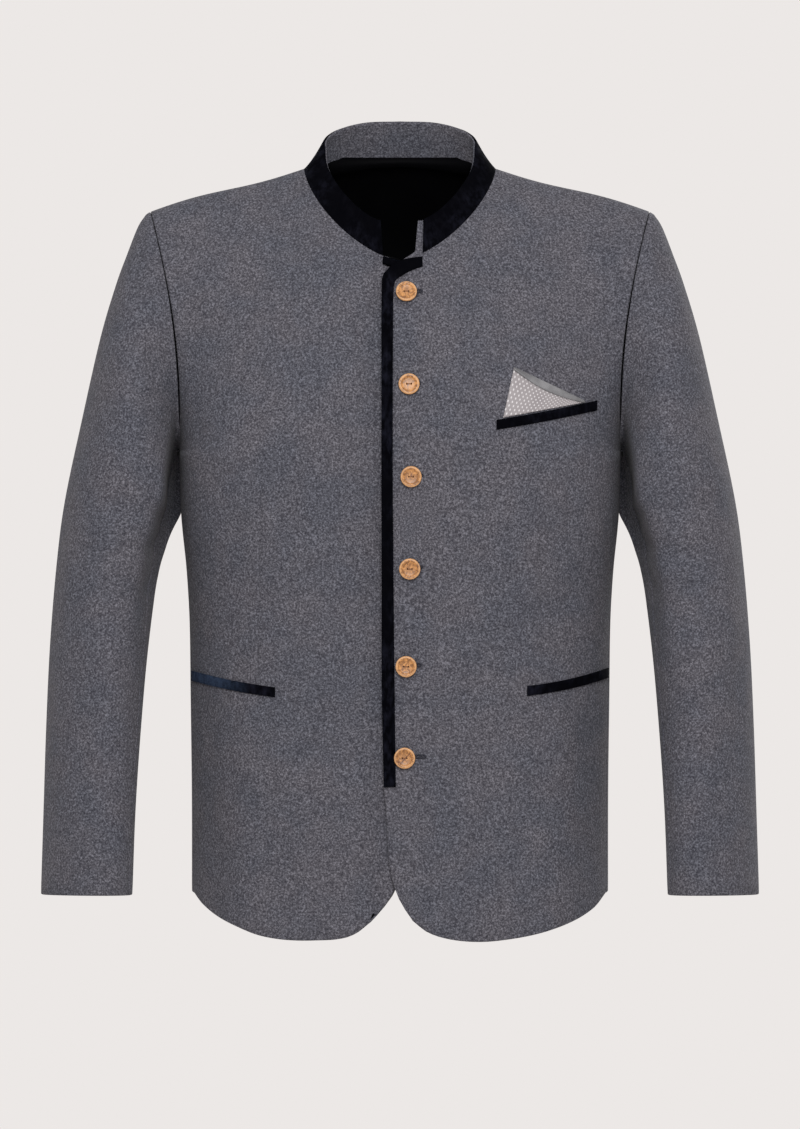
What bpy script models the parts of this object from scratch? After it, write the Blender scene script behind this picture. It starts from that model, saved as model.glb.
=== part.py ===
"""Tyrolean loden jacket, filled out with no wearer: stand collar, piped left front, six horn buttons.

Metres, Z up.  The front faces -Y and the wearer's left is +X.  Height 0 is the shoulder seam at the
collar, where the wearer's neck and shoulders carry the jacket.
"""
import math

import bpy
import bmesh
from mathutils import Matrix, Vector

# cloth walls and the gaps between pieces
LODEN = 0.0020
VELVET = 0.0012
LINING = 0.0010
SEAM = 0.0003
LAY = 0.0003
BACK_SEAM = 0.0006
RIDGE_SEAM = 0.0009

# the trunk: drop below the neck, half width, front depth, back depth, how far the side seam sits in front of
# the side, and how square the section is (1 is an ellipse, less is squarer)
TRUNK = (
    (0.270, 0.2100, 0.1235, 0.1140, 0.000, 0.62),
    (0.330, 0.2086, 0.1242, 0.1060, 0.008, 0.70),
    (0.380, 0.2036, 0.1238, 0.0990, 0.014, 0.78),
    (0.430, 0.2006, 0.1232, 0.0960, 0.018, 0.84),
    (0.500, 0.1996, 0.1232, 0.1020, 0.022, 0.86),
    (0.600, 0.1984, 0.1255, 0.1160, 0.024, 0.88),
    (0.740, 0.1984, 0.1290, 0.1240, 0.024, 0.88),
)
UNDERARM = -0.270
SIDE_HEM = -0.690
BACK_HEM = -0.680

# the armhole ring: shoulder tip above, underarm below
TIP_X, TIP_Y, TIP_Z = 0.2380, 0.010, -0.041
UNDERARM_X = 0.2100
ARMHOLE_FRONT, ARMHOLE_BACK = 0.060, 0.065
SCOOP_FRONT, SCOOP_BACK = 0.0093, 0.004
SHOULDER_BEND = 0.62
SHOULDER_WAVE = 0.0018

# the yoke's centre lines run from the chest over the open neck to the line of the shoulder seam
CENTRE_TOP = 0.0148
CENTRE_ROUND = 0.25
SHOULDER_Y = 0.004
FRONT_FALL = 1.5
BACK_CENTRE = ((-0.15, 0.1050), (0.0, 0.1140), (0.112, 0.1180), (0.252, 0.1195), (0.465, 0.1090),
               (0.638, 0.0900), (0.871, 0.0580), (1.0, 0.0040))
SHOULDER_SQUARENESS = 0.82

# the neckline
NECK_HALF_WIDTH = 0.0912
NECK_DROP = 0.0890
NECK_POWER = 4 / 3
NAPE_ROW = 0.871

# front edges as (height, distance past the centre line), each on its own side
LEFT_EDGE = (
    (-0.7138, 0.0118), (-0.6978, 0.0011), (-0.6818, -0.0055), (-0.6659, -0.0095), (-0.6418, -0.0117),
    (-0.6070, -0.0135), (-0.5890, -0.0154), (-0.5200, -0.0172), (-0.1180, -0.0176), (-0.1053, -0.0166),
    (-0.0988, -0.0123), (-0.0928, -0.0058), (-0.0884, 0.0032),
)
RIGHT_EDGE = (
    (-0.7100, 0.0220), (-0.7004, 0.0149), (-0.6845, 0.0048), (-0.6700, -0.0040), (-0.6550, -0.0120),
    (-0.6350, -0.0200), (-0.6100, -0.0260), (-0.5750, -0.0300), (-0.1180, -0.0300), (-0.1040, -0.0250),
    (-0.0960, -0.0160), (-0.0905, -0.0060), (-0.0884, 0.0032),
)
LEFT_HEM = (
    (0.0118, -0.7138), (0.0251, -0.7245), (0.0438, -0.7311), (0.0704, -0.7344), (0.0971, -0.7330),
    (0.1318, -0.7271), (0.1638, -0.7165), (0.1851, -0.7040), (0.1970, -0.6900),
)
RIGHT_HEM = (
    (0.0220, -0.7100), (0.0282, -0.7165), (0.0495, -0.7298), (0.0815, -0.7330), (0.1109, -0.7325),
    (0.1348, -0.7285), (0.1562, -0.7205), (0.1748, -0.7112), (0.1890, -0.7000), (0.1970, -0.6900),
)
LAP_DEPTH = 0.0064
LAP_FADE = (0.020, 0.080)

# rows of the lofts, and how far each neck row leads or trails its armhole row
TRUNK_ROWS = (0.0, 0.05, 0.12, 0.21, 0.32, 0.45, 0.60, 0.75, 0.88)
YOKE_ROWS = 16
PANEL_COLUMNS = 10
FRONT_WARP = ((0.0, 0.0), (0.5, 0.345), (0.5625, 0.405), (0.625, 0.4405), (0.6875, 0.471), (0.75, 0.51),
              (0.8125, 0.585), (0.875, 0.698), (0.9375, 0.83), (1.0, 1.0))
BACK_WARP = ((0.0, 0.0), (0.25, 0.27), (0.625, 0.78), (0.6875, 0.871), (0.75, 0.8788), (0.8125, 0.9012),
             (0.875, 0.9297), (0.9375, 0.9644), (1.0, 1.0))

# sleeve rings: outer x, z, inner x, z, half depth, how far the ring hangs forward
SLEEVE = (
    (0.2424, -0.0440, 0.2116, -0.2730, 0.0620, 0.000),
    (0.2500, -0.0560, 0.2118, -0.2780, 0.0650, 0.002),
    (0.2606, -0.0832, 0.2118, -0.2860, 0.0690, 0.005),
    (0.2706, -0.1110, 0.2116, -0.2950, 0.0715, 0.009),
    (0.2852, -0.1610, 0.2112, -0.3070, 0.0735, 0.014),
    (0.3025, -0.2380, 0.2104, -0.3270, 0.0740, 0.020),
    (0.3190, -0.3164, 0.2200, -0.3520, 0.0720, 0.023),
    (0.3268, -0.3760, 0.2310, -0.3930, 0.0690, 0.026),
    (0.3330, -0.4520, 0.2395, -0.4580, 0.0650, 0.031),
    (0.3366, -0.5300, 0.2460, -0.5330, 0.0600, 0.038),
    (0.3390, -0.6100, 0.2510, -0.6110, 0.0550, 0.047),
    (0.3414, -0.6910, 0.2538, -0.6910, 0.0500, 0.056),
)
RING_STEPS = 2 * YOKE_ROWS
FRONT_SEAM_STEP = 14
BACK_SEAM_STEP = 23
SLEEVE_SEAM = 0.0006
SLEEVE_START = 0.0007

# collar: angle round the neck from the nape, then the top edge there
COLLAR_TOP = (
    (0, 0.0000, 0.0450, 0.0468), (26, 0.0330, 0.0420, 0.0456), (55, 0.0600, 0.0290, 0.0388),
    (72, 0.0716, 0.0170, 0.0299), (90, 0.0718, 0.0040, 0.0195), (107, 0.0690, -0.0130, 0.0015),
    (120, 0.0594, -0.0300, -0.0160), (136, 0.0465, -0.0455, -0.0315), (150, 0.0335, -0.0560, -0.0432),
    (161, 0.0216, -0.0620, -0.0498), (165, 0.0172, -0.0635, -0.0500), (180, -0.0014, -0.0660, -0.0500),
)
COLLAR_END_LEFT, COLLAR_END_RIGHT = 160.2, 163.8
COLLAR_COLUMNS = 20
COLLAR_ROWS = 3
COLLAR_LIFT = 0.0009
INNER_LIFT = 0.0022
INNER_DEPTH = 0.0022
INNER_END = 164.5
TONGUE = ((166.4, 0.23), (180.0, 0.06))

# velvet strip on the left edge, from its lower end round the neckline corner: its border and its edge
STRIP_BORDER = (
    (-0.0039, -0.5880), (-0.0050, -0.5000), (-0.0060, -0.4000), (-0.0068, -0.3000), (-0.0068, -0.2200),
    (-0.0066, -0.1600), (-0.0062, -0.1220), (-0.0047, -0.1100), (-0.0018, -0.1066), (0.0019, -0.1042),
    (0.0095, -0.0998), (0.0215, -0.0952),
)
STRIP_EDGE = (
    (-0.0154, -0.5880), (-0.0172, -0.5000), (-0.0174, -0.4000), (-0.0176, -0.3000), (-0.0176, -0.2200),
    (-0.0176, -0.1600), (-0.0174, -0.1200), (-0.0166, -0.1053), (-0.0123, -0.0988), (-0.0058, -0.0928),
    (0.0040, -0.0886), (0.0212, -0.0858),
)
STRIP_ROWS, UNDER_ROWS = 33, 5
STRIP_LAY = 0.0006
UNDER_EDGE = ((0.0150, -0.0856), (0.0110, -0.0872), (0.0070, -0.0884), (0.0030, -0.0894))
UNDER_BORDER = ((0.0158, -0.0935), (0.0115, -0.0952), (0.0073, -0.0964), (0.0032, -0.0972))

# welts: inner end x, z, outer end x, z at mid height, sag, and the height of all of them
WELT_HEIGHT = 0.0095
CHEST_WELT = (0.0912, -0.2455, 0.1860, -0.2268, 0.0010)
HIP_WELT_LEFT = (0.1200, -0.4972, 0.1972, -0.4805, 0.0022)
HIP_WELT_RIGHT = (0.1180, -0.4985, 0.1972, -0.4832, 0.0014)
WELT_COLUMNS = 8

# folded pochette: the corners of what shows above the chest welt
SQUARE_FOOT_IN, SQUARE_PEAK = (0.0974, -0.2388), (0.1077, -0.1914)
SQUARE_FOOT_OUT, SQUARE_TIP = (0.1745, -0.2240), (0.1738, -0.2225)
SQUARE_WALL = 0.0010

# buttons
BUTTONS = ((0.0060, -0.1201), (0.0085, -0.2073), (0.0105, -0.2946), (0.0092, -0.3818),
           (0.0057, -0.4741), (0.0043, -0.5607))
BUTTON_RADIUS = 0.0100
BUTTON_HEIGHT = 0.0036
BUTTON_STAND = 0.0016
HOLE_RADIUS = 0.0008
HOLE_SPACING = 0.0041
BUTTON_SIDES = 32

# the back lining that shows in the neck
LINING_INSET = 0.0065
LINING_LOW = 0.25
LINING_REACH = 1.10


def smooth(table, key, column=1):
    """Read a column of a table at a key, along a smooth curve through its rows."""
    keys = [row[0] for row in table]
    if key <= keys[0]:
        return table[0][column]
    if key >= keys[-1]:
        return table[-1][column]
    i = max(k for k in range(len(keys) - 1) if keys[k] <= key)

    def slope(k):
        low, high = max(k - 1, 0), min(k + 1, len(keys) - 1)
        return (table[high][column] - table[low][column]) / (keys[high] - keys[low])

    span = keys[i + 1] - keys[i]
    f = (key - keys[i]) / span
    start, end = table[i][column], table[i + 1][column]
    bend_in, bend_out = slope(i) * span, slope(i + 1) * span
    return (start * (2 * f ** 3 - 3 * f ** 2 + 1) + bend_in * (f ** 3 - 2 * f ** 2 + f)
            + end * (3 * f ** 2 - 2 * f ** 3) + bend_out * (f ** 3 - f ** 2))


def ease(f):
    """Go from 0 to 1 with flat ends."""
    f = min(max(f, 0.0), 1.0)
    return f * f * (3 - 2 * f)


def signed_power(value, power):
    """Raise the size of a number to a power and keep its sign."""
    return math.copysign(abs(value) ** power, value)


def armhole(angle):
    """Return the armhole ring's point: 0 at the shoulder tip, a quarter turn in front, a half below."""
    across, down = math.sin(angle), math.cos(angle)
    scoop = SCOOP_FRONT if across > 0 else SCOOP_BACK
    depth = ARMHOLE_FRONT if across > 0 else ARMHOLE_BACK
    x = (TIP_X + UNDERARM_X) / 2 + (TIP_X - UNDERARM_X) / 2 * down - scoop * across ** 2
    y = TIP_Y * (1 + down) / 2 - depth * across
    z = (TIP_Z + UNDERARM) / 2 + (TIP_Z - UNDERARM) / 2 * down
    return Vector((x, y, z))


def yoke_row(back, t):
    """Return a yoke row's centre y and z, its armhole end and its bend; t is 0 at the underarm."""
    angle = math.pi * (1 - t)
    end = armhole(-angle if back else angle)
    centre_z = UNDERARM + (CENTRE_TOP - UNDERARM) * math.sin(math.pi / 2 * t)
    centre_y = SHOULDER_Y - (TRUNK[0][2] + SHOULDER_Y) * max(math.cos(math.pi / 2 * t), 0.0) ** FRONT_FALL
    if back:
        centre_y = smooth(BACK_CENTRE, t)
    return centre_y, centre_z, end, math.pi / 2 - SHOULDER_BEND * t


def yoke_height(back, x, t):
    """Return the height of the yoke's surface at x in row t."""
    _, centre_z, end, _ = yoke_row(back, t)
    fall = math.hypot(x / end.x, CENTRE_ROUND) - CENTRE_ROUND
    fall /= math.hypot(1.0, CENTRE_ROUND) - CENTRE_ROUND
    along = (abs(x) - NECK_HALF_WIDTH) / (TIP_X - NECK_HALF_WIDTH)
    wave = -SHOULDER_WAVE * math.sin(2 * math.pi * min(max(along, 0.0), 1.0)) * t ** 4
    return centre_z + (end.z - centre_z) * fall + wave


def yoke_power(t):
    """Return how square a yoke row is."""
    return TRUNK[0][5] + (SHOULDER_SQUARENESS - TRUNK[0][5]) * t


def yoke_point(back, x, t):
    """Return the yoke's surface point at x in row t."""
    centre_y, _, end, bend = yoke_row(back, t)
    power = yoke_power(t)
    reach = min(abs(x) / end.x, 1.0) ** (1 / power)
    turn = math.asin(math.sin(bend) * reach)
    low = max(math.cos(bend), 0.0) ** power
    share = (max(math.cos(turn), 0.0) ** power - low) / (1 - low)
    return Vector((x, end.y + (centre_y - end.y) * share, yoke_height(back, x, t)))


def front_surface(x, z):
    """Return the front's surface point that is seen at x, z, each half on its own positive side."""
    if z <= UNDERARM:
        half, depth, power = smooth(TRUNK, -z, 1), smooth(TRUNK, -z, 2), 2 / smooth(TRUNK, -z, 5)
        share = max(1 - (min(abs(x) / half, 1.0)) ** power, 0.0) ** (1 / power)
        return Vector((x, -depth * share, z))
    low, high = 0.0, 1.0
    for _ in range(40):
        middle = (low + high) / 2
        if yoke_height(False, x, middle) < z:
            low = middle
        else:
            high = middle
    return yoke_point(False, x, (low + high) / 2)


def lap(side, x):
    """Return how far the right front is pushed in where the left front lies over it."""
    return LAP_DEPTH * (1 - ease((x - LAP_FADE[0]) / (LAP_FADE[1] - LAP_FADE[0]))) if side < 0 else 0.0


def on_front(side, x, z, lift):
    """Return the place a given height above the front cloth at x, z on one side of the jacket."""
    step = 0.0008

    def depth(px, pz):
        return front_surface(px, pz).y + lap(side, px)

    slope_x = (depth(x + step, z) - depth(x - step, z)) / (2 * step)
    slope_z = (depth(x, z + step) - depth(x, z - step)) / (2 * step)
    normal = Vector((slope_x, -1.0, slope_z)).normalized()
    place = Vector((x, depth(x, z), z)) + normal * lift
    return Vector((place.x * side, place.y, place.z))


def neck_front(angle):
    """Return x and z of the front neckline at an angle round the neck from the nape."""
    return (NECK_HALF_WIDTH * signed_power(math.sin(angle), NECK_POWER),
            -NECK_DROP * abs(math.cos(angle)) ** NECK_POWER)


def neck_point(side, angle):
    """Return the neckline at an angle round the neck from the nape."""
    angle = min(angle, math.pi)
    if angle <= math.pi / 2:
        t = 1 - (1 - NAPE_ROW) * math.cos(angle)
        point = yoke_point(True, NECK_HALF_WIDTH * math.sin(angle), t)
    else:
        x, z = neck_front(angle)
        point = front_surface(x, min(z, -0.0002))
        point.y += lap(side, x)
    return Vector((point.x * side, point.y, point.z))


def edge_x(edge, z):
    """Return where a front ends at a height: its front edge, then the neckline above it."""
    if z <= edge[-1][0]:
        return smooth(edge, z)
    depth = min(max(-z / NECK_DROP, 0.0), 1.0)
    return NECK_HALF_WIDTH * (1 - depth ** (2 / NECK_POWER)) ** (NECK_POWER / 2)


def neck_row_x(edge, t):
    """Return where a yoke row of a front meets its edge or the neckline."""
    low, high = -0.035, NECK_HALF_WIDTH
    for _ in range(40):
        middle = (low + high) / 2
        if middle < edge_x(edge, yoke_height(False, middle, t)):
            low = middle
        else:
            high = middle
    return (low + high) / 2


def columns(first, last, count, power):
    """Return shares from 0 to 1 that space points evenly round a curved section."""
    spread = [signed_power(math.sin(first + (last - first) * i / count), power) for i in range(count + 1)]
    return [(value - spread[0]) / (spread[-1] - spread[0]) for value in spread]


def front_panel(side):
    """Return a front's grid from the hem to the shoulder, each row from the edge to the side."""
    edge, hem = (LEFT_EDGE, LEFT_HEM) if side > 0 else (RIGHT_EDGE, RIGHT_HEM)
    corner_z, corner_x = edge[0]
    rows = []
    for v in TRUNK_ROWS:
        left_z = corner_z + (UNDERARM - corner_z) * v
        right_z = SIDE_HEM + (UNDERARM - SIDE_HEM) * v
        half, depth, power = (smooth(TRUNK, -right_z, column) for column in (1, 2, 5))
        seam_turn = math.acos((smooth(TRUNK, -right_z, 4) / depth) ** (1 / power))
        left_x, right_x = edge_x(edge, left_z), half * math.sin(seam_turn) ** power
        first = math.asin(signed_power(left_x / half, 1 / power))
        row = []
        for u in columns(first, seam_turn, PANEL_COLUMNS, power):
            hem_x = corner_x + (hem[-1][0] - corner_x) * u
            sag = smooth(hem, hem_x) - (corner_z + (hem[-1][1] - corner_z) * u)
            z = left_z + (right_z - left_z) * u + sag * (1 - v) ** 2
            row.append(front_surface(left_x + (right_x - left_x) * u, z))
        rows.append(row)
    for i in range(YOKE_ROWS + 1):
        outer_t = i / YOKE_ROWS
        inner_t = smooth(FRONT_WARP, outer_t)
        left_x, (_, _, end, bend) = neck_row_x(edge, inner_t), yoke_row(False, outer_t)
        power = yoke_power(outer_t)
        first = math.asin(signed_power(left_x / end.x, 1 / power) * math.sin(bend))
        rows.append([yoke_point(False, left_x + (end.x - left_x) * u, inner_t + (outer_t - inner_t) * u)
                     for u in columns(first, bend, PANEL_COLUMNS, power)])
    for row in rows:
        for point in row:
            point.y += lap(side, point.x)
            point.x *= side
    return rows


def back_trunk_point(turn, z):
    """Return the trunk's surface at an angle round the body from the centre back."""
    half, front, back, power = (smooth(TRUNK, -z, column) for column in (1, 2, 3, 5))
    depth = back if turn < math.pi / 2 else front
    return Vector((half * math.sin(turn) ** power, depth * signed_power(math.cos(turn), power), z))


def back_neck_x(t):
    """Return where a yoke row of the back starts: the centre seam, then the neckline."""
    return NECK_HALF_WIDTH * math.sqrt(max(1 - ((1 - t) / (1 - NAPE_ROW)) ** 2, 0.0))


def back_panel(side):
    """Return a back's grid from the hem to the shoulder, each row from the centre seam to the side."""
    rows = []
    for v in TRUNK_ROWS:
        side_z = SIDE_HEM + (UNDERARM - SIDE_HEM) * v
        centre_z = BACK_HEM + (UNDERARM - BACK_HEM) * v
        seam = smooth(TRUNK, -side_z, 4) / smooth(TRUNK, -side_z, 2)
        last = math.pi - math.acos(seam ** (1 / smooth(TRUNK, -side_z, 5)))
        rows.append([back_trunk_point(last * i / PANEL_COLUMNS,
                                      centre_z + (side_z - centre_z) * i / PANEL_COLUMNS)
                     for i in range(PANEL_COLUMNS + 1)])
    for i in range(YOKE_ROWS + 1):
        outer_t = i / YOKE_ROWS
        inner_t = smooth(BACK_WARP, outer_t)
        left_x, (_, _, end, bend) = back_neck_x(inner_t), yoke_row(True, outer_t)
        power = yoke_power(outer_t)
        first = math.asin((left_x / end.x) ** (1 / power) * math.sin(bend))
        rows.append([yoke_point(True, left_x + (end.x - left_x) * u, inner_t + (outer_t - inner_t) * u)
                     for u in columns(first, bend, PANEL_COLUMNS, power)])
    for row in rows:
        for point in row:
            point.x *= side
    return rows


def inset(rows, start=0.0, end=0.0, bottom=0.0, top=0.0):
    """Draw the borders of a grid back along its own surface, which opens the gaps at the seams."""
    for row in rows:
        row[0] = row[0] + (row[1] - row[0]).normalized() * start
        row[-1] = row[-1] + (row[-2] - row[-1]).normalized() * end
    for i in range(len(rows[0])):
        rows[0][i] = rows[0][i] + (rows[1][i] - rows[0][i]).normalized() * bottom
        rows[-1][i] = rows[-1][i] + (rows[-2][i] - rows[-1][i]).normalized() * top
    return rows


def sleeve_ring(side, ring, step):
    """Return a sleeve ring's point: ring 0 lies along the armhole, the others come from the table."""
    angle = 2 * math.pi * step / RING_STEPS
    if ring == 0:
        point = armhole(angle) + Vector((SLEEVE_START, 0.0, 0.0))
    else:
        outer_x, outer_z, inner_x, inner_z, depth, forward = SLEEVE[ring - 1]
        across, out = math.sin(angle), math.cos(angle)
        round_off = armhole(angle).y + depth * across
        share = max(1 - ring / 5, 0.0)
        point = Vector(((outer_x + inner_x) / 2 + (outer_x - inner_x) / 2 * out,
                        -depth * across - forward * (1 - out * 0.3) + round_off * share,
                        (outer_z + inner_z) / 2 + (outer_z - inner_z) / 2 * out))
        if ring < 4:
            scoop = SCOOP_FRONT if across > 0 else SCOOP_BACK
            point.x -= scoop * across ** 2 * (1 - ring / 4) ** 1.5
    return Vector((point.x * side, point.y, point.z))


def sleeve_panel(side, first, last):
    """Return the grid of one sleeve piece between two seams, from the armhole to the cuff."""
    rows = [[sleeve_ring(side, ring, step) for step in range(first, last + 1)]
            for ring in range(len(SLEEVE) + 1)]
    return inset(rows, start=SLEEVE_SEAM, end=SLEEVE_SEAM)


def collar_column(side, degrees, lift, inward, rise=1.0):
    """Return one column of the collar from its seam to its top edge, moved up and in by distances."""
    base = neck_point(side, math.radians(degrees))
    top = Vector([smooth(COLLAR_TOP, degrees, column) for column in (1, 2, 3)])
    top.x *= side
    up = (top - base).normalized()
    nearer, further = (neck_point(side, math.radians(degrees + turn)) for turn in (-2, 2))
    ahead = further - nearer
    away = up.cross(ahead).normalized() * side
    low = base + up * lift
    return [low + (top - low) * rise * i / COLLAR_ROWS - away * inward for i in range(COLLAR_ROWS + 1)]


def collar_band(lift, inward, left_end, tongue=()):
    """Return the collar's grid all the way round from the right end to the left end."""
    stations = [collar_column(-1, COLLAR_END_RIGHT * i / COLLAR_COLUMNS, lift, inward)
                for i in range(COLLAR_COLUMNS, 0, -1)]
    stations += [collar_column(1, left_end * i / COLLAR_COLUMNS, lift, inward)
                 for i in range(COLLAR_COLUMNS + 1)]
    stations += [collar_column(1, turn, lift, inward, rise) for turn, rise in tongue]
    return [list(row) for row in zip(*stations)]


def new_sheet(name, rows, wall, material, collection, flip=False):
    """Make a closed wall behind a grid of surface points."""
    mesh = bpy.data.meshes.new(name)
    form = bmesh.new()
    grid = [[form.verts.new(point) for point in row] for row in rows]
    for low, high in zip(grid, grid[1:]):
        for i in range(len(low) - 1):
            corners = (low[i], low[i + 1], high[i + 1], high[i])
            form.faces.new(corners[::-1] if flip else corners)
    for face in form.faces:
        face.smooth = True
    form.to_mesh(mesh)
    form.free()
    sheet = bpy.data.objects.new(name, mesh)
    collection.objects.link(sheet)
    mesh.materials.append(material)
    solid = sheet.modifiers.new("wall", "SOLIDIFY")
    solid.thickness = wall
    solid.offset = -1
    return sheet


def new_material(name, colour, roughness):
    """Make a plain named material."""
    material = bpy.data.materials.new(name)
    material.use_nodes = True
    shader = material.node_tree.nodes["Principled BSDF"]
    shader.inputs["Base Color"].default_value = (*colour, 1.0)
    shader.inputs["Roughness"].default_value = roughness
    return material


def along_path(path, f):
    """Return the point a share of the way along a path, counted in its points."""
    numbered = [(i, *point) for i, point in enumerate(path)]
    key = f * (len(path) - 1)
    return smooth(numbered, key, 1), smooth(numbered, key, 2)


def strip_rows(side, edge, border, count, across=2):
    """Return a grid laid on a front between an edge and a border."""
    rows = []
    for j in range(count + 1):
        (start_x, start_z), (end_x, end_z) = along_path(edge, j / count), along_path(border, j / count)
        rows.append([on_front(side, start_x + (end_x - start_x) * i / across,
                              start_z + (end_z - start_z) * i / across, STRIP_LAY + VELVET)
                     for i in range(across + 1)])
    return rows


def welt_rows(side, welt):
    """Return the grid of a pocket welt laid on a front, closer together where it turns to the side."""
    inner_x, inner_z, outer_x, outer_z, sag = welt
    rows = []
    for level in (-0.5, 0.5):
        row = []
        for i in range(WELT_COLUMNS + 1):
            f = 1 - (1 - i / WELT_COLUMNS) ** 1.4
            z = inner_z + (outer_z - inner_z) * f - sag * math.sin(math.pi * f) + level * WELT_HEIGHT
            row.append(on_front(side, inner_x + (outer_x - inner_x) * f, z, STRIP_LAY + VELVET))
        rows.append(row)
    return rows


def square_rows():
    """Return the grid of the pochette above the chest welt."""
    rows = []
    for j in range(5):
        g = j / 4
        start = [a + (b - a) * g for a, b in zip(SQUARE_FOOT_IN, SQUARE_PEAK)]
        end = [a + (b - a) * g for a, b in zip(SQUARE_FOOT_OUT, SQUARE_TIP)]
        rows.append([on_front(1, start[0] + (end[0] - start[0]) * i / 6,
                              start[1] + (end[1] - start[1]) * i / 6, LAY + SQUARE_WALL) for i in range(7)])
    return rows


def lining_rows():
    """Return the grid of the back lining, from the neck seam down, side to side."""
    rows = []
    for i in range(9):
        inner_t = LINING_LOW + (NAPE_ROW - 0.012 - LINING_LOW) * i / 8
        row = []
        for j in range(-8, 9):
            reach = abs(j) / 8
            t = inner_t + (0.93 - NAPE_ROW) * reach ** 2 * (i / 8)
            _, _, end, _ = yoke_row(True, t)
            x = end.x * signed_power(math.sin(LINING_REACH * j / 8), yoke_power(t))
            point = yoke_point(True, x, t)
            step = 0.004
            along = yoke_point(True, x + step, t) - yoke_point(True, x - step, t)
            up = yoke_point(True, x, t + 0.01) - yoke_point(True, x, t - 0.01)
            row.append(point + along.cross(up).normalized() * LINING_INSET)
        rows.append(row)
    return rows


def button_shape(name, material, collection, cutters):
    """Make one button: a turned dished disc with two sewing holes, flat on its back, facing up."""
    radius, height = BUTTON_RADIUS, BUTTON_HEIGHT
    profile = ((0.0, height * 0.70), (radius * 0.45, height * 0.72), (radius * 0.62, height * 0.94),
               (radius * 0.80, height), (radius * 0.93, height * 0.86), (radius, height * 0.55),
               (radius * 0.95, height * 0.22), (radius * 0.75, 0.0), (0.0, 0.0))
    mesh = bpy.data.meshes.new(name)
    mesh.from_pydata([(x, 0.0, z) for x, z in profile], [(i, i + 1) for i in range(len(profile) - 1)], [])
    button = bpy.data.objects.new(name, mesh)
    collection.objects.link(button)
    mesh.materials.append(material)
    turn = button.modifiers.new("turn", "SCREW")
    turn.steps = turn.render_steps = BUTTON_SIDES
    turn.use_merge_vertices = True
    turn.merge_threshold = 0.00001
    turn.use_smooth_shade = True
    for place in (-0.5, 0.5):
        bpy.ops.mesh.primitive_cylinder_add(vertices=12, radius=HOLE_RADIUS, depth=height * 4)
        hole = bpy.context.object
        hole.name = f"{name}_hole"
        hole.data.transform(Matrix.Translation((HOLE_SPACING * place, 0.0, 0.0)))
        for holder in list(hole.users_collection):
            holder.objects.unlink(hole)
        cutters.objects.link(hole)
        hole.hide_render = True
        hole.display_type = "WIRE"
        hole.parent = button
        cut = button.modifiers.new("hole", "BOOLEAN")
        cut.solver = "EXACT"
        cut.object = hole
    return button


def place_button(button, x, z):
    """Set a button on the left front, facing out."""
    seat = on_front(1, x, z, LAY + BUTTON_STAND)
    out = (on_front(1, x, z, 0.01) - on_front(1, x, z, 0.0)).normalized()
    right = Vector((1.0, 0.0, 0.0))
    up = out.cross(right).normalized()
    right = up.cross(out)
    frame = Matrix((right, up, out)).transposed().to_4x4()
    button.matrix_world = Matrix.Translation(seat) @ frame


def clear_scene():
    """Empty the scene."""
    for thing in list(bpy.data.objects):
        bpy.data.objects.remove(thing, do_unlink=True)


def new_collection(name):
    """Make a collection in the scene."""
    collection = bpy.data.collections.new(name)
    bpy.context.scene.collection.children.link(collection)
    return collection


def build_body(loden, collection):
    """Make the fronts, backs and sleeves."""
    for side, word in ((1, "left"), (-1, "right")):
        front = inset(front_panel(side), start=LAY if side < 0 else 0.0, end=SEAM, top=RIDGE_SEAM)
        for row in front[len(TRUNK_ROWS):]:
            row[-1] = row[-1] + (row[-2] - row[-1]).normalized() * SEAM
        new_sheet(f"front_{word}", front, LODEN, loden, collection, flip=side < 0)
        back = inset(back_panel(side), start=BACK_SEAM, end=SEAM, top=RIDGE_SEAM)
        new_sheet(f"back_{word}", back, LODEN, loden, collection, flip=side > 0)
        top = sleeve_panel(side, BACK_SEAM_STEP - RING_STEPS, FRONT_SEAM_STEP)
        new_sheet(f"sleeve_top_{word}", top, LODEN, loden, collection, flip=side < 0)
        under = sleeve_panel(side, FRONT_SEAM_STEP, BACK_SEAM_STEP)
        new_sheet(f"sleeve_under_{word}", under, LODEN, loden, collection, flip=side < 0)


def build_collar(loden, velvet, lining, collection):
    """Make the velvet collar, its loden inside and the lining below it."""
    outer = collar_band(COLLAR_LIFT, 0.0, COLLAR_END_LEFT)
    new_sheet("collar_outer", outer, VELVET, velvet, collection, flip=True)
    inner = collar_band(INNER_LIFT, INNER_DEPTH, INNER_END, TONGUE)
    new_sheet("collar_inner", inner, VELVET, loden, collection, flip=True)
    new_sheet("lining_back", lining_rows(), LINING, lining, collection)


def build_trims(velvet, silk, collection):
    """Make the edge strip, the neck piping of the under front, the welts and the pochette."""
    edge_strip = strip_rows(1, STRIP_EDGE, STRIP_BORDER, STRIP_ROWS)
    new_sheet("trim_left", edge_strip, VELVET, velvet, collection)
    under_strip = strip_rows(-1, UNDER_EDGE, UNDER_BORDER, UNDER_ROWS)
    new_sheet("trim_right", under_strip, VELVET, velvet, collection, flip=True)
    new_sheet("chest_welt", welt_rows(1, CHEST_WELT), VELVET, velvet, collection)
    new_sheet("hip_welt_left", welt_rows(1, HIP_WELT_LEFT), VELVET, velvet, collection)
    new_sheet("hip_welt_right", welt_rows(-1, HIP_WELT_RIGHT), VELVET, velvet, collection, flip=True)
    new_sheet("pocket_square", square_rows(), SQUARE_WALL, silk, collection)


def build_buttons(horn, collection, cutters):
    """Make the six buttons down the left front."""
    for number, (x, z) in enumerate(BUTTONS, start=1):
        place_button(button_shape(f"button_{number}", horn, collection, cutters), x, z)


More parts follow.
